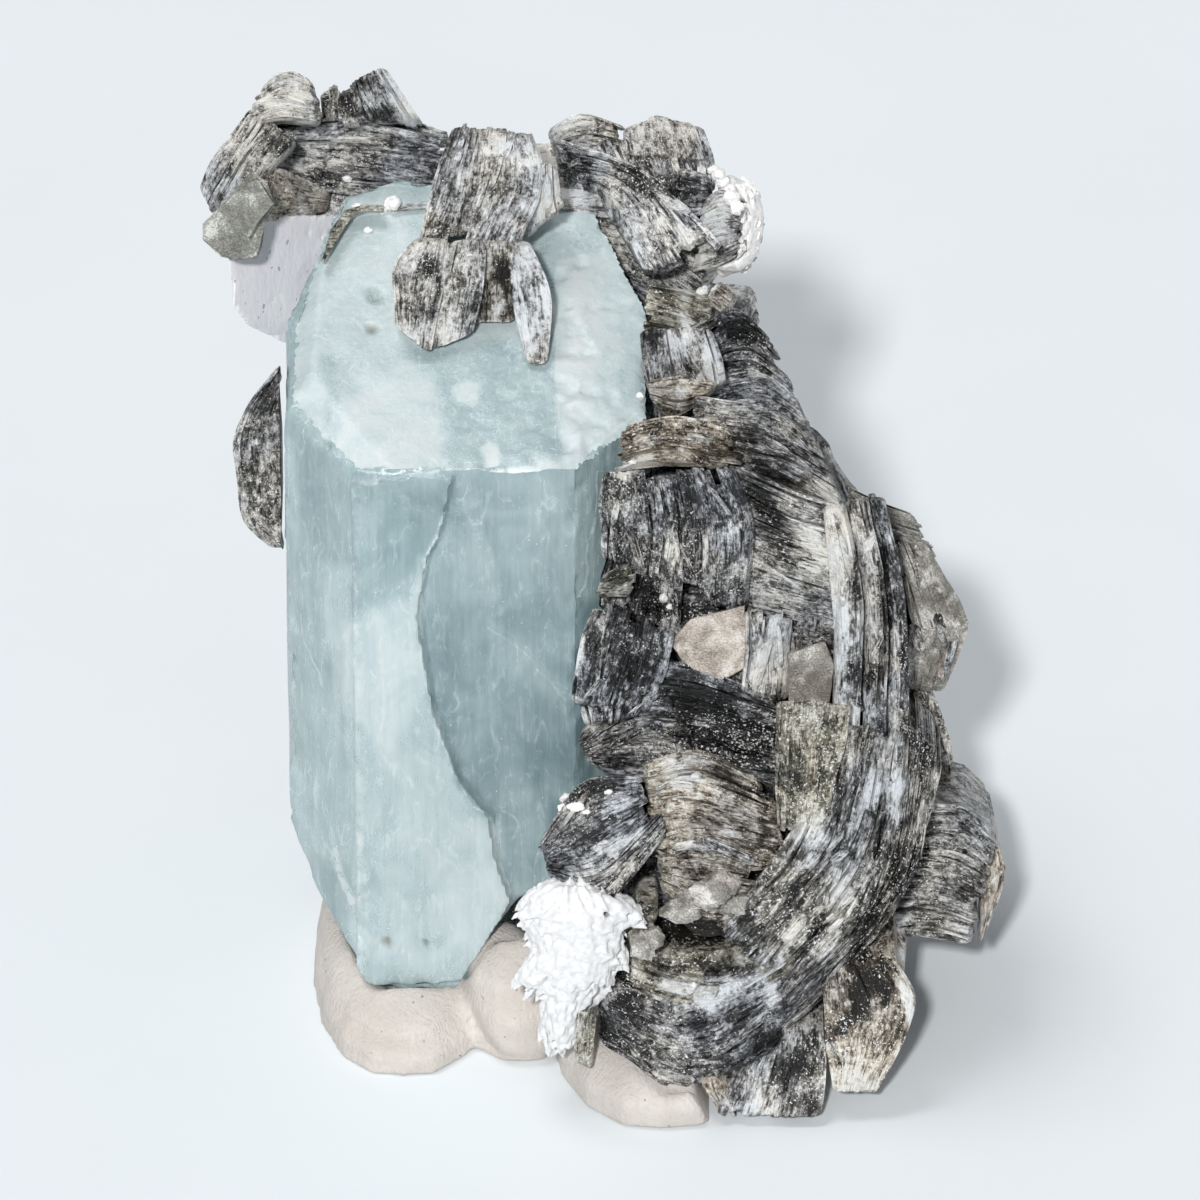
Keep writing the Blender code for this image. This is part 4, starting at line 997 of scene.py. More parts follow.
def plate_look():
    """Sheets seen on their face: cloudy and smooth, from greenish grey to pale beige, with a painted
    white sheen on the lightest clouds.
    """
    look = Look("muscovite_plates", IOR=1.59, Specular_IOR_Level=0.4)
    places = look.places()
    clouds = look.noise(places, 0.5, detail=5.0, roughness=0.6, distortion=0.5)
    grain = look.noise(places, 7.0, detail=2.0)
    value = look.total(look.span(clouds, 0.34, 0.66, -0.22, 0.18), look.span(grain, 0.3, 0.7, -0.12, 0.12))
    tone = look.ramp(look.attribute("tint"), (0.0, linear(150, 152, 143)),
                     (0.5, linear(160, 155, 148)), (1.0, linear(200, 188, 176)))
    shade = look.mix(look.span(value, -0.22, 0.0, 0.7, 0.0), tone, linear(84, 78, 69))
    # Painted sheen: the lightest clouds go towards white, as where the faces catch the light.
    look.feed("Base Color", look.mix(look.span(value, 0.0, 0.16, 0.0, 0.75), shade,
                                     linear(240, 237, 232)))
    look.feed("Roughness", look.span(clouds, 0.3, 0.7, 0.2, 0.38))
    look.bump(look.total(clouds, grain), 0.12)
    return look.material


# Colours of the aquamarine, from its clear depths to its white frosting, by lightness.
AQUAMARINE_RAMP = ((0.28, linear(66, 92, 98)), (0.48, linear(118, 145, 151)),
                   (0.585, linear(150, 174, 179)), (0.685, linear(180, 202, 205)),
                   (0.775, linear(204, 223, 226)), (0.90, linear(234, 247, 248)),
                   (1.0, linear(248, 253, 253)))


def aquamarine_look():
    """Translucent pale blue: clear and frosted zones, upright fibres, fractures, painted edge highlights
    and specks.
    """
    look = Look("aquamarine", IOR=1.577, Transmission_Weight=0.35)
    places = look.places()
    lines = look.node("SeparateXYZ", {0: look.attribute("lines", "Vector")}).outputs
    fibres = look.noise(places, (2.6, 2.6, 0.16), detail=5.0, roughness=0.65)
    clouds = look.noise(places, (0.3, 0.3, 0.2), detail=4.0, roughness=0.55, distortion=0.9)
    wisps = look.noise(places, (1.1, 1.1, 0.4), detail=5.0, roughness=0.7, distortion=1.6)
    broken = look.noise(places, 1.5, detail=4.0, roughness=0.7)
    # The drawn lines: fractures, and painted highlights along edges.
    fracture = look.math("MAXIMUM", look.math("SUBTRACT", 1.0, look.math("ABSOLUTE", lines[0])), 0.0)
    fracture = look.math("MULTIPLY", look.math("MULTIPLY", fracture, lines[1]),
                         look.span(broken, 0.38, 0.55, 0.15, 1.0))
    # Lighter within 0.3 mm of the edges: partly the white of chipped edges, partly painted highlight.
    rim = look.math("MULTIPLY", look.span(lines[2], 0.0, 0.3, 0.06, 0.0), look.span(broken, 0.4, 0.6))
    specks = look.noise(places, 3.0, detail=2.0)
    value = look.total(look.attribute("zone"), look.span(clouds, 0.3, 0.7, -0.06, 0.06),
                       look.span(fibres, 0.3, 0.7, -0.03, 0.03), look.span(wisps, 0.54, 0.74, -0.01, 0.15),
                       fracture, rim, look.span(specks, 0.735, 0.76, 0, 0.2))
    colour = look.ramp(value, *AQUAMARINE_RAMP)
    look.feed("Base Color", look.mix(look.attribute("stain"), colour, linear(150, 143, 126)))
    look.feed("Roughness", look.span(value, 0.5, 0.95, 0.12, 0.36))
    look.bump(look.math("ADD", fibres, look.math("MULTIPLY", wisps, 0.5)), 0.05)
    volume = look.node("VolumeAbsorption", {"Color": linear(196, 226, 229), "Density": 10.0})
    output = look.tree.nodes["Material Output"]
    look.tree.links.new(volume.outputs[0], output.inputs["Volume"])
    return look.material


def putty_look():
    """Matt warm white putty with pressed skin lines, darker where its surface lies low, and dark specks."""
    look = Look("mounting_putty")
    places = look.places()
    blotches = look.noise(places, 0.25, detail=4.0)
    warp = look.noise(places, 0.22, detail=2.0)
    upright = look.node("SeparateXYZ", {0: places}).outputs
    lines = look.total(look.math("MULTIPLY", upright[2], 1.6), look.math("MULTIPLY", upright[0], 0.7),
                       look.math("MULTIPLY", warp, 26.0))
    skin = look.math("SINE", look.math("MULTIPLY", lines, 5.0))
    shreds = look.noise(places, (3.0, 3.0, 1.2), detail=4.0, roughness=0.7)
    height = look.math("ADD", look.span(skin, -1, 1, 0, 0.1), shreds)
    colour = look.ramp(blotches, (0.3, linear(200, 192, 184)), (0.7, linear(220, 213, 206)))
    colour = look.mix(look.span(height, 0.35, 0.6, 0.4, 0.0), colour, linear(196, 188, 181))
    specks = look.noise(places, 2.2, detail=1.0)
    look.feed("Base Color", look.mix(look.span(specks, 0.74, 0.77, 0, 0.6), colour, linear(90, 86, 82)))
    look.feed("Roughness", look.span(shreds, 0.3, 0.7, 0.5, 0.7))
    look.bump(height, 0.16)
    return look.material


def apatite_look():
    """Waxy lilac white, with faint veils and small darker pits."""
    look = Look("apatite", IOR=1.634, Transmission_Weight=0.05)
    places = look.places()
    veils = look.noise(places, (0.35, 0.35, 0.2), detail=4.0)
    colour = look.ramp(veils, (0.35, linear(251, 246, 252)), (0.65, linear(255, 253, 255)))
    pits = look.span(look.noise(places, (2.6, 2.6, 1.6), detail=1.0), 0.70, 0.74, 0.0, 0.8)
    look.feed("Base Color", look.mix(pits, colour, linear(168, 148, 168)))
    look.feed("Roughness", look.span(veils, 0.3, 0.7, 0.28, 0.5))
    look.bump(look.noise(places, (2.0, 2.0, 0.9)), 0.05)
    return look.material


def albite_look(name, shade, white=linear(253, 253, 252)):
    """Sugary white, with grains of the colour `shade` in it."""
    look = Look(name, IOR=1.53)
    places = look.places()
    sugar = look.noise(places, 2.5, detail=4.0)
    look.feed("Base Color", look.ramp(sugar, (0.3, shade), (0.55, white)))
    look.feed("Roughness", look.span(sugar, 0.3, 0.7, 0.3, 0.6))
    look.bump(sugar, 0.06)
    return look.material


# ---------------------------------------------------------------- pieces

def piece(name, mesh, look, slot, *nodes, sharp=38):
    """Show a mesh as a piece that stands for the solids of `nodes`.

    sharp: degrees between faces from which an edge is sharp.
    """
    item = bpy.data.objects.new(name, mesh)
    bpy.context.collection.objects.link(item)
    mesh.materials.clear()
    mesh.materials.append(look)
    mesh.shade_smooth()
    mesh.set_sharp_from_angle(angle=math.radians(sharp))
    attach(item, "root")
    if nodes:
        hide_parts(*nodes)
    return item


def node_mesh(node):
    """A copy of a solid's mesh."""
    return frame["nodes"][node].data.copy()


CRYSTAL_GRAIN = 0.3           # size of the faces of its fine mesh, in mm
LEVEL = 0.4                   # a face that looks up by more than this is a top, not a side
LINE_REACH = 4.0              # how many half-widths from a fracture its distance is kept
# Zones of the crystal as drawn: outline, softness of its edge in steps, and lightness.
TOP_ZONES = (
    (((286, 250), (330, 190), (420, 175), (420, 250), (360, 270), (290, 300)), 16, 0.785),
    (((418, 345), (557, 335), (557, 464), (440, 472), (425, 420)), 8, 0.70),
    (((531, 238), (576, 205), (596, 212), (602, 250), (560, 292), (536, 292)), 8, 0.73),
    (((557, 262), (600, 246), (640, 296), (648, 398), (600, 442), (557, 462)), 3, 0.84),
    (((588, 250), (612, 290), (578, 332), (563, 300)), 4, 0.87),
    (((563, 345), (600, 300), (614, 332), (592, 400), (563, 424)), 4, 0.88),
    (((622, 300), (646, 300), (648, 395), (626, 400)), 6, 0.79),
    (((342, 402), (430, 376), (446, 420), (434, 473), (359, 475), (336, 440)), 12, 0.885),
    (((318, 352), (336, 346), (339, 440), (326, 440)), 5, 0.73),
    (((345, 300), (400, 290), (400, 340), (350, 350)), 18, 0.80),
    (((452, 392), (462, 384), (478, 388), (474, 402), (456, 402)), 3, 0.88),
    (((482, 394), (556, 392), (556, 410), (484, 406)), 4, 0.69),
    (((520, 426), (557, 424), (557, 450), (524, 448)), 5, 0.68),
    (((476, 446), (488, 440), (502, 444), (498, 462), (486, 472)), 3, 0.90),
    (((538, 458), (552, 452), (556, 466), (542, 470)), 3, 0.88),
    (((366, 284), (382, 282), (384, 300), (370, 302)), 4, 0.72),
)
SIDE_ZONES = (
    (((270, 395), (327, 441), (359, 476), (352, 600), (350, 760), (346, 910), (270, 900)), 5, 0.715),
    (((300, 440), (326, 446), (330, 560), (302, 560)), 8, 0.655),
    (((284, 440), (296, 440), (298, 640), (286, 640)), 4, 0.76),
    (((316, 560), (345, 570), (350, 640), (326, 660)), 10, 0.79),
    (((284, 700), (340, 680), (346, 860), (300, 860)), 12, 0.765),
    (((345, 478), (482, 470), (604, 462), (604, 600), (470, 606), (440, 600), (400, 616), (345, 600)),
     10, 0.675),
    (((372, 490), (450, 488), (446, 560), (380, 572)), 14, 0.635),
    (((438, 480), (452, 480), (450, 512), (440, 512)), 3, 0.60),
    (((520, 478), (604, 470), (604, 545), (530, 540)), 14, 0.715),
    (((450, 560), (560, 552), (560, 588), (452, 590)), 10, 0.735),
    (((430, 570), (604, 560), (604, 700), (440, 700)), 26, 0.655),
    (((426, 612), (450, 604), (520, 616), (604, 600), (604, 800), (560, 832), (530, 884), (505, 884),
      (488, 821), (457, 782), (433, 717), (418, 650)), 6, 0.615),
    (((480, 616), (520, 636), (580, 700), (560, 712), (500, 664)), 9, 0.675),
    (((504, 736), (604, 726), (604, 800), (520, 796)), 12, 0.575),
    (((500, 796), (548, 790), (545, 890), (506, 890)), 8, 0.67),
    (((436, 700), (470, 696), (476, 770), (452, 768)), 6, 0.60),
    (((566, 470), (604, 466), (604, 600), (574, 600)), 8, 0.735),
    (((345, 650), (418, 640), (433, 717), (457, 782), (488, 821), (495, 860), (512, 908), (470, 1000),
      (350, 1000), (345, 940)), 4, 0.80),
    (((330, 642), (360, 616), (404, 600), (424, 560), (418, 640), (430, 690), (410, 722), (380, 742),
      (340, 700)), 10, 0.865),
    (((368, 690), (394, 680), (398, 770), (378, 766)), 9, 0.885),
    (((420, 836), (496, 826), (512, 905), (470, 950), (430, 930)), 10, 0.855),
    (((345, 962), (460, 962), (450, 1000), (345, 1000)), 8, 0.775),
)
# Fractures, and painted highlights along edges that catch the light, as drawn: points, half-width
# in steps, and brightness.
FRACTURES_AND_EDGE_GLINTS = (
    (((350, 474), (400, 476), (431, 473), (482, 469), (540, 464)), 2.2, 0.20),
    (((446, 512), (436, 540), (426, 562), (421, 600), (419, 640)), 3.0, 0.24),
    (((419, 650), (434, 717), (457, 782), (473, 810)), 1.6, 0.10),
    (((473, 808), (490, 821), (494, 856), (504, 872), (511, 905)), 2.4, 0.18),
    (((601, 470), (597, 520), (590, 560), (583, 600)), 1.8, 0.26),
    (((298, 612), (304, 650), (318, 690)), 1.8, 0.16),
    (((331, 846), (340, 876), (351, 906)), 5.0, 0.30),
    (((339, 936), (347, 956), (359, 970)), 3.6, 0.28),
    (((488, 628), (530, 662), (566, 704)), 1.6, 0.08),
    (((418, 428), (430, 450), (446, 472)), 1.4, 0.12),
    (((560, 458), (600, 440), (636, 412)), 2.0, 0.14),
    (((557, 330), (557, 400), (557, 458)), 1.6, 0.10),
    (((420, 380), (424, 330), (422, 300)), 1.4, 0.08),
    (((500, 812), (520, 826), (512, 846)), 2.0, 0.14),
    (((380, 640), (384, 700), (380, 750)), 2.4, 0.10),
    (((352, 316), (360, 324), (364, 332)), 3.0, 0.24),
)
PIT_DEPTH = 0.3               # in mm
# Pits as drawn: place, radius in steps, and how brown they are.
PITS = (((387, 945), 6, 0.8), ((426, 946), 4, 0.7), ((372, 326), 6, 0.75), ((374, 292), 8, 0.35),
        ((324, 448), 4, 0.35), ((470, 720), 3, 0.1))


def painted(zone, across, down, zones):
    """Lightness with drawn zones laid over it, one after the other."""
    for outline, soft, lightness in zones:
        distance, side = to_line(across, down, outline, closed=True)
        share = np.clip(0.5 + distance * side / (2 * soft), 0, 1)
        zone = zone + (lightness - zone) * share * share * (3 - 2 * share)
    return zone


def crystal_relief(places, normal, face, to_edge):
    """How far the surface lies inward, in mm: striated sides, an etched top and chipped edges."""
    sideways = (places * np.stack((-normal[:, 1], normal[:, 0], normal[:, 2] * 0), -1)).sum(-1)
    lane = np.stack((sideways, face * 9.0, places[:, 2]), -1)
    striae = noise(lane, (0.9, 1, 16), 3) * 0.10 + noise(lane, (0.45, 1, 7), 4) * 0.07
    terraces = noise(lane, (3.5, 1, 12), 5)
    sides = striae + np.floor(terraces * 5) * 0.05 + fractal(places, (5, 5, 8), 6) * 0.25
    hillocks = fractal(places, (3.4, 4.2, 3.4), 7, octaves=2) * 0.4 + noise(places, 0.7, 8) * 0.04
    underside = fractal(places, 1.5, 9) * 0.5
    inward = np.where(np.abs(normal[:, 2]) < LEVEL, sides,
                      np.where(normal[:, 2] > LEVEL, hillocks, underside))
    edge = np.exp(-np.clip(to_edge, 0, None) / 0.7)
    chips = np.clip(fractal(places, (1.6, 1.6, 2.2), 10) - 0.5, 0, 1) * 2.4
    return inward + edge * chips * 0.8


def crystal_zones(places, across, down, top, facing):
    """Lightness: drawn zones on the faces of the display side, and plain clouds on the others."""
    wander = [(fractal(places, (3.0, 3.0, 4.0), seed) - 0.5) * 22
              + (noise(places, 0.9, seed + 9) - 0.5) * 2.5 for seed in (12, 14)]
    drift = across + wander[0], down + wander[1]
    # The tops get 0.06 more: painted light, making up for the shade that the crown casts on the
    # termination.
    zone = np.where(top, painted(np.full(len(places), 0.81), *drift, TOP_ZONES) + 0.06,
                    painted(np.full(len(places), 0.70), *drift, SIDE_ZONES))
    return np.where(facing, zone, 0.72 + (fractal(places, (4, 4, 8), 15) - 0.5) * 0.2)


def crystal_lines(places, across, down, facing, to_edge):
    """Half-widths from the nearest of the drawn fractures and painted edge highlights, its brightness, and
    mm from the nearest edge.
    """
    lines = np.zeros((len(places), 3))
    lines[:, 0] = LINE_REACH
    jitter = [(noise(places, 1.1, seed) - 0.5) * 6 for seed in (16, 18)]
    for line, width, brightness in FRACTURES_AND_EDGE_GLINTS:
        distance, side = to_line(across + jitter[0], down + jitter[1], smooth_line(line, 25))
        near = facing & (distance / width < np.abs(lines[:, 0])) & (side != 0)
        lines[near, 0] = (distance * side)[near] / width
        lines[near, 1] = brightness
    lines[:, 2] = to_edge
    return lines


def aquamarine():
    """The crystal with a natural surface, a few pits, and drawn zones and fractures."""
    places, triangles = remeshed(node_mesh("aquamarine_crystal"), CRYSTAL_GRAIN)
    depths = face_depths(places, 0)
    face, to_edge = depths.argmin(0), np.sort(depths, 0)[1]
    normal = prism_planes(0)[1][face]
    facing = (normal @ TOWARD_EYE) > 0
    across, down = drawn(places)
    inward = crystal_relief(places, normal, face, to_edge)
    stain = np.zeros(len(places))
    for at, radius, brown in PITS:
        near = facing * hole(across, down, at, radius)
        inward = inward + near * PIT_DEPTH
        stain = np.maximum(stain, near * brown)
    places = places - normal * inward[:, None]
    zone = crystal_zones(places, across, down, normal[:, 2] > LEVEL, facing)
    lines = crystal_lines(places, across, down, facing, to_edge)
    mesh = triangle_mesh("aquamarine_fine", places, triangles, zone=zone, lines=lines, stain=stain)
    piece("aquamarine_fine", mesh, aquamarine_look(), "aquamarine", "aquamarine_crystal")


def apatite():
    """The pale crystal at the upper left, with a waxy, pitted surface."""
    places, triangles = remeshed(node_mesh("apatite_crystal"), grain=0.25)
    pits = np.clip(noise(places, 0.9, 31) - 0.78, 0, 0.1) * 10
    depth = fractal(places, (3, 3, 1.4), 30) * 0.25 + pits * 0.18
    mesh = triangle_mesh("apatite_fine", sunk(places, depth), triangles)
    piece("apatite_fine", mesh, apatite_look(), "apatite", "apatite_crystal")


# Where lobes of the putty meet: drawn line, and depth of the crease in mm.
CREASES = ((((462, 985), (472, 1012), (480, 1036), (492, 1052), (500, 1066)), 0.9),
           (((340, 1022), (370, 1040), (410, 1046), (450, 1036), (474, 1030)), 0.35))
CREASE_WIDTH = 6              # in steps
DAB, DAB_RADIUS = (500, 958, 15.0), 2.7      # drawn place, depth and size in mm of the middle lobe
RIDGE_STEP, RIDGE_HEIGHT = 0.75, 0.014       # ridges of the fingerprint, in mm
SOLE = 0.6                    # height in mm below which the putty is pressed flat


def putty(side, seed):
    """A dab of putty: pressed lumps with the ridges of a fingerprint."""
    node = "putty_" + side
    mesh = node_mesh(node)
    if side == "left":
        dab = bmesh.new()
        dab.from_mesh(mesh)
        bmesh.ops.create_icosphere(dab, subdivisions=3, radius=DAB_RADIUS * MM,
                                   matrix=Matrix.Translation(Vector(sight(*DAB)) * MM))
        dab.to_mesh(mesh)
        dab.free()
    places, triangles = remeshed(mesh, grain=0.3, soften=12)
    inward = unit((places.min(0) + places.max(0)) / 2 - places)
    swirl = places[:, 2] * 0.9 + places[:, 0] * 0.35 + noise(places, 5, seed) * 6
    ridges = (np.sin(swirl * 2 * math.pi / RIDGE_STEP) + 1) * RIDGE_HEIGHT
    patchy = np.clip(noise(places, 4, seed + 1) * 2 - 0.5, 0, 1)
    depth = fractal(places, (4, 5, 3), seed + 2) * 0.5 + ridges * patchy
    for crease, deep in CREASES:
        depth = depth + deep * np.exp(-(to_line(*drawn(places), crease)[0] / CREASE_WIDTH) ** 2)
    places = places + inward * depth[:, None] * np.clip(places[:, 2:3] / SOLE, 0, 1)
    mesh = triangle_mesh(node + "_fine", places, triangles)
    piece(node + "_fine", mesh, putty_look(), "putty", node, sharp=70)


def flake(look):
    """The small bent flake, with a rough surface. It stands 0.6 mm clear of the termination."""
    places, triangles = remeshed(node_mesh("mica_flake"), grain=0.1)
    places = sunk(places, fractal(places, 1, 601) * 0.1)
    mesh = triangle_mesh("flake", places, triangles, strata=places - places.mean(0),
                         tint=np.full(len(places), 0.5))
    piece("flake", mesh, look, "muscovite", "mica_flake")


class Blades:
    """Thin pointed blades of albite, in one mesh."""

    def __init__(self, seed):
        self.draw = np.random.default_rng(seed)
        self.pile = Pile()

    def add(self, root, tip, face, width, thick):
        """A blade from root to tip in mm, its flat side towards `face`."""
        along_blade = unit(tip - root)
        side = unit(np.cross(along_blade, face))
        up = np.cross(side, along_blade)
        ways = [(math.cos(a), math.sin(a)) for a in np.linspace(0, 2 * math.pi, 5, endpoint=False)]
        rings = []
        # It swells from a narrow root and narrows again to its tip.
        for f in np.linspace(0, 1, 5):
            swell = (math.sin(math.pi * (0.12 + 0.80 * f)) ** 0.7) * self.draw.uniform(0.75, 1.0)
            middle = root + (tip - root) * f + up * thick * 0.8 * math.sin(math.pi * f)
            rings.append([middle + (side * x * width + up * z * thick) * swell / 2 for x, z in ways])
        rings = np.array(rings)
        self.pile.add(rings, rings, np.zeros(rings.shape[:2]))


# The albite spray's outline as drawn, round from its top, and its middle.
SPRAY = ((539, 883), (523, 898), (512, 914), (515, 926), (527, 931), (523, 944), (532, 948),
         (514, 976), (512, 987), (520, 993), (532, 999), (543, 1001), (539, 1018), (538, 1040),
         (548, 1054), (561, 1053), (574, 1057), (586, 1013), (592, 1004), (614, 990), (617, 969),
         (628, 970), (629, 962), (623, 942), (626, 927), (646, 929), (644, 913), (629, 899),
         (600, 890), (560, 885))
SPRAY_MIDDLE = (572, 962)
SPRAY_ROOT = (578, 850)       # drawing point that its ribs fan out from
SPRAY_FRONT = ((0, 6, 16, 34), (4.6, 3.2, 2.3, 1.8))     # steps inside the outline, and depth in mm
SPRAY_TRIES, SPRAY_BLADES = 3200, 900        # places tried for its blades, and most blades
BLADE_LENGTH, BLADE_WIDTH, BLADE_THICKNESS = (12, 26), (0.4, 0.8), 0.4    # steps, mm and mm


def albite_spray():
    """White feathery albite: a ribbed body under small overlapping blades that fan down."""
    places, triangles = remeshed(node_mesh("albite_spray"), grain=0.16, soften=6)
    across, down = drawn(places)
    angle = np.arctan2(across - SPRAY_ROOT[0], down - SPRAY_ROOT[1])
    radius = np.hypot(across - SPRAY_ROOT[0], down - SPRAY_ROOT[1]) * PATTERN_STEP
    fan = np.stack((angle * 9, radius, angle * 0), -1)
    depth = np.abs(noise(fan, (0.7, 2.5, 1), 81) - 0.5) + fractal(places, 0.7, 82) * 0.5 + 0.25
    places = sunk(places, depth)
    blades = Blades(84)
    draw = blades.draw
    spots = draw.uniform(np.min(SPRAY, 0), np.max(SPRAY, 0), (SPRAY_TRIES, 2))
    distance, side = to_line(spots[:, 0], spots[:, 1], SPRAY, closed=True)
    spots, distance = spots[side > 0][:SPRAY_BLADES], distance[side > 0][:SPRAY_BLADES]
    for at, inner in zip(spots, distance):
        way = unit(unit(at - SPRAY_ROOT) + 0.35 * unit(at - SPRAY_MIDDLE) + draw.normal(0, 0.2, 2))
        long = draw.uniform(*BLADE_LENGTH)
        start, end = at - way * long * 0.75, at + way * long * 0.25
        front = np.interp(inner, *SPRAY_FRONT) + draw.uniform(-0.2, 0.3)
        root, tip = sight(*start, front + 0.55), sight(*end, front - 0.1)
        blades.add(root, tip, TOWARD_EYE + draw.normal(0, 0.35, 3), draw.uniform(*BLADE_WIDTH),
                   BLADE_THICKNESS)
    blades.pile.add_mesh(places, triangles, places, 0.0)
    places, triangles = remeshed(blades.pile.mesh("albite_spray_blades"), grain=0.13, soften=3)
    mesh = triangle_mesh("albite_spray_fine", places, triangles)
    look = albite_look("albite_spray", linear(216, 216, 216), linear(237, 237, 237))
    piece("albite_spray_fine", mesh, look, "albite", "albite_spray", sharp=60)


CRUST_BLADES = 260


def albite_crust():
    """A crust of small pale blades, radiating from its ground."""
    places, triangles = remeshed(node_mesh("albite_crust"), grain=0.2, soften=4)
    middle = places.mean(0)
    places = middle + (places - middle) * (0.94 - 0.12 * fractal(places, 0.9, 91))[:, None]
    blades = Blades(92)
    draw = blades.draw
    half = (places.max(0) - places.min(0)) / 2
    for number in range(CRUST_BLADES):
        way = unit(draw.normal(0, 1, 3))
        tip = middle + way * half * draw.uniform(0.9, 1.04)
        root = middle + (tip - middle) * 0.66
        blades.add(root, tip, draw.normal(0, 1, 3), draw.uniform(0.6, 1.3), 0.25)
    blades.pile.add_mesh(places, triangles, places, 0.0)
    piece("albite_crust_fine", blades.pile.mesh("albite_crust_fine"),
          albite_look("albite_crust", linear(224, 218, 210)), "albite", "albite_crust", sharp=50)


LUMP_RINGS = 14
CRUST_BACK = 33.0             # depth in mm of a grain that nothing carries
NEAR, DEEP = -20, 60          # depths in mm between which a grain's ground is looked for
GRAIN_SINK, LUMP_SINK = 0.1, 0.8             # how deep they sit in their ground, in mm
# White grains of albite as drawn: place and size in steps.
GRAINS = (((391, 204), (19, 17)), ((383, 211), (10, 9)), ((357, 206), (12, 6)), ((368, 230), (9, 7)),
          ((347, 178), (10, 8)), ((702, 290), (14, 14)),
          ((566, 798), (16, 10)), ((575, 807), (18, 10)), ((562, 807), (9, 8)), ((586, 812), (9, 6)),
          ((664, 598), (9, 12)), ((670, 607), (8, 7)), ((645, 470), (14, 7)), ((632, 462), (9, 6)),
          ((608, 792), (9, 5)), ((694, 985), (8, 5)), ((655, 955), (7, 5)), ((640, 396), (9, 8)),
          ((714, 170), (12, 10)), ((719, 176), (14, 14)), ((723, 183), (15, 15)), ((728, 190), (16, 16)),
          ((732, 198), (16, 17)), ((737, 207), (15, 18)), ((741, 217), (14, 19)), ((745, 228), (12, 20)))
# Grey-brown lumps of muscovite: place, size in steps and shade.
LUMPS = (((704, 896), (58, 40), 0.5), ((681, 910), (40, 30), 0.4), ((724, 884), (32, 34), 0.65),
         ((645, 938), (38, 48), 0.5), ((735, 905), (40, 26), 0.3))


def lone_book(name, first, last, front, deep, seed, **fineness):
    """A book that stands clear of the others, in a pile of its own."""
    into = -TOWARD_EYE * deep
    book_solid(name, drawn_line(first, front, front), drawn_line(last, front, front), into, seed,
               **fineness)


def resting_back(across, down, carriers):
    """Depth in mm at which a drawn point meets the nearest of the pieces, or else CRUST_BACK."""
    near, far = (Vector(sight(across, down, back)) * MM for back in (NEAR, DEEP))
    way = (far - near).normalized()
    hits = [(place - near).length for found, place, normal, face
            in (item.ray_cast(near, way) for item in carriers) if found]
    return NEAR + (DEEP - NEAR) * min(hits) / (far - near).length if hits else CRUST_BACK


def lump(into_pile, at, size, sink, seed, tint, carriers):
    """A small rounded rough crystal that sits on other pieces, sunk into them by `sink` mm."""
    back = resting_back(*at, carriers)
    middle = sight(*at, back - min(size) * STEP / MM * 0.5 + sink)
    latitude = np.linspace(0.12, math.pi - 0.12, LUMP_RINGS)[:, None]
    longitude = np.linspace(0, 2 * math.pi, 2 * LUMP_RINGS, endpoint=False)[None, :]
    ball = np.stack(np.broadcast_arrays(np.sin(latitude) * np.cos(longitude),
                                        np.sin(latitude) * np.sin(longitude), np.cos(latitude)), -1)
    rough = 0.45 + 1.1 * fractal(ball + seed, 0.9, seed) - 0.2 * noise(ball * 9, 1.0, seed + 1)
    half = np.array((size[0], min(size), size[1])) * STEP / MM / 2
    rings = middle + ball * rough[..., None] * half
    piles[into_pile].add(rings, rings, np.full(rings.shape[:2], tint))


def grains():
    """White albite grains and grey-brown muscovite lumps, scattered where they grew."""
    carriers = [item for item in bpy.context.scene.objects
                if item.name.startswith(("aquamarine_fine", "muscovite_", "flake", "splinter"))]
    bpy.context.view_layer.update()
    for number, (at, size) in enumerate(GRAINS):
        lump("albite_grains", at, size, GRAIN_SINK, 900 + 3 * number, 0.0, carriers)
    for number, (at, size, shade) in enumerate(LUMPS):
        lump("muscovite_lumps", at, size, LUMP_SINK, 960 + 3 * number, shade, carriers)
    for name, look, slot, sharp in (("albite_grains", "albite_crust", "albite", 50),
                                    ("muscovite_lumps", "muscovite_plates", "muscovite", 40)):
        piece(name, piles[name].mesh(name), bpy.data.materials[look], slot, sharp=sharp)


LEFT_BOOK_REACH = 0.75        # mm that the left book's inner side moves towards the aquamarine
LEFT_BOOK_ROOM = 3.5          # mm from its outer side over which it comes to move so far
WALL_MARGIN = 0.02            # mm between it and the drawn wall; the etched wall is 0.3 mm deeper


def left_book(look):
    """The bent book at the aquamarine's left side. It ends 0.36 mm short of the etched wall."""
    lone_book("left_book", [(268, 362), (240, 414), (235, 462), (239, 522), (266, 550)],
              [(300, 368), (292, 415), (290, 460), (292, 505), (306, 546)], 22, 8, 400, sheet=0.2)
    pile = piles["left_book"]
    edge = min(places[:, 0].min() for places in pile.places)
    wall = min(x for x, y in PRISM_PLAN) + SHIFT[0] - WALL_MARGIN
    for places in pile.places:
        places[:, 0] += LEFT_BOOK_REACH * np.clip((places[:, 0] - edge) / LEFT_BOOK_ROOM, 0, 1)
        places[:, 0] = np.minimum(places[:, 0], wall)
    piece("left_book", pile.mesh("left_book"), look, "muscovite", "mica_left_book", sharp=30)


def splinter(look):
    """The thin splinter below the albite spray."""
    lone_book("splinter", [(579, 1006), (575, 1064)], [(597, 1012), (592, 1071)], 2.4, 1.6, 401,
              sheet=0.15, step=0.25, ragged=0.3)
    piece("splinter", piles["splinter"].mesh("splinter"), look, "muscovite", "mica_splinter", sharp=30)


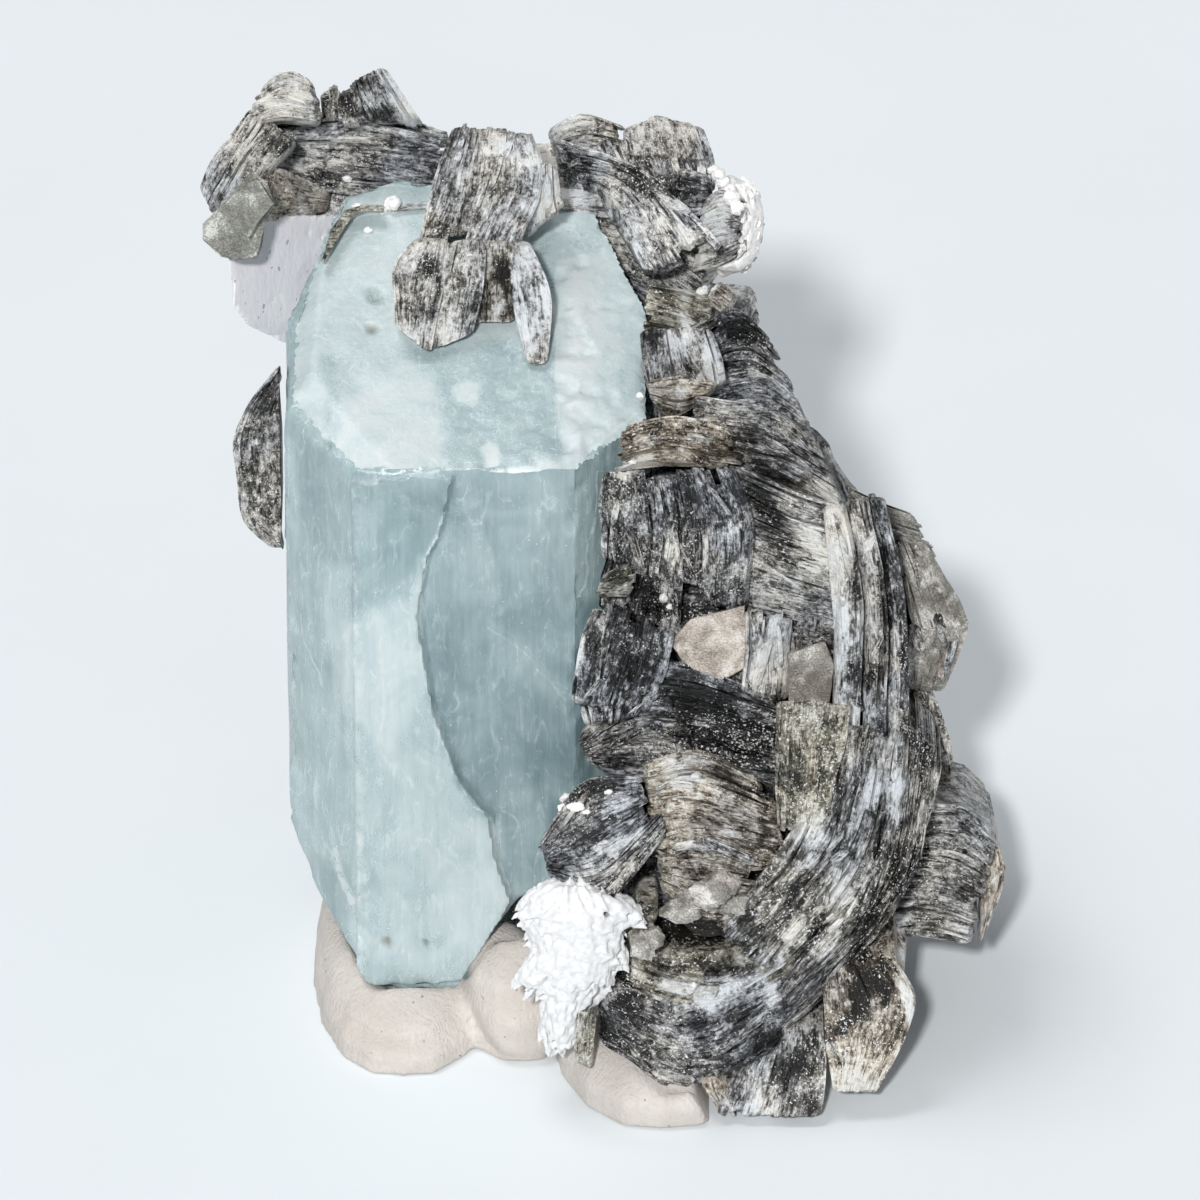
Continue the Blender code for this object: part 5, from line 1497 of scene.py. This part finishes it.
def muscovite():
    """The books that are grown together, one piece for each tone, and those that stand clear."""
    crown()
    upper_mass()
    lower_mass()
    back_mass()
    for corners, seed in HEARTS:
        heart(corners, seed)
    looks = {tone: mica_look(tone) for tone in TONES}
    looks["plates"] = plate_look()
    for tone, look in looks.items():
        name = "muscovite_" + tone
        mesh = piles[tone].mesh(name, marks=tone != "plates")
        piece(name, mesh, look, "muscovite", "mica_cluster", sharp=30)
    left_book(looks["grey"])
    splinter(looks["olive"])
    flake(looks["olive"])


# ---------------------------------------------------------------- stage

WORLD_STRENGTH = 0.32
# Lamps: name, place in metres, power in watts, size in metres.
LAMPS = (("key", (-0.80, -6.54, 4.62), 500.0, 0.42), ("overhead", (-0.70, 0.13, 2.40), 19.0, 0.88))
LAMP_AIM = (0, 0, 0.03)       # place in metres that the lamps point at
SENSOR = 36                   # width of the camera's sensor, in mm


def placed(name, data, place, way):
    """A lamp or camera at a place in metres, turned to look along `way`."""
    item = bpy.data.objects.new(name, data)
    item.location = place
    item.rotation_mode = "QUATERNION"
    item.rotation_quaternion = way.to_track_quat("-Z", "Y")
    bpy.context.collection.objects.link(item)
    return item


def stage():
    """A pale floor, soft studio light from the upper left, and the camera on the display side."""
    bpy.ops.mesh.primitive_plane_add(size=3, location=(0, 0.6, 0))
    floor = bpy.context.object
    floor.name = "floor"
    look = Look("floor", Roughness=0.9)
    grain = look.noise(look.node("TexCoord").outputs["Object"], 40)
    look.feed("Base Color", look.ramp(grain, (0.3, linear(231, 236, 239)),
                                      (0.7, linear(233, 238, 241))))
    floor.data.materials.append(look.material)

    bpy.context.scene.view_settings.view_transform = "Standard"
    world = bpy.data.worlds.new("studio")
    world.use_nodes = True
    background = world.node_tree.nodes["Background"].inputs
    background[0].default_value = linear(238, 242, 246)
    background[1].default_value = WORLD_STRENGTH
    bpy.context.scene.world = world

    for name, place, power, size in LAMPS:
        lamp = bpy.data.lights.new(name, "AREA")
        lamp.energy = power
        lamp.size = size
        placed(name, lamp, place, Vector(LAMP_AIM) - Vector(place))

    target = Vector((0, TILT_SIN, TILT_COS)) * (DRAWN_FOOT[1] - DRAWN_EYE_ROW) * STEP
    target += Vector(SHIFT) * MM
    camera = bpy.data.cameras.new("camera")
    camera.sensor_width = SENSOR
    camera.lens = SENSOR * SIGHT_DISTANCE / (VIEW_STEPS * STEP)
    camera.clip_start = 0.01
    bpy.context.scene.camera = placed("camera", camera, target + Vector(TOWARD_EYE) * SIGHT_DISTANCE,
                                      Vector((0, TILT_COS, -TILT_SIN)))


aquamarine()
apatite()
putty("left", 701)
putty("right", 711)
muscovite()
albite_spray()
albite_crust()
grains()
stage()
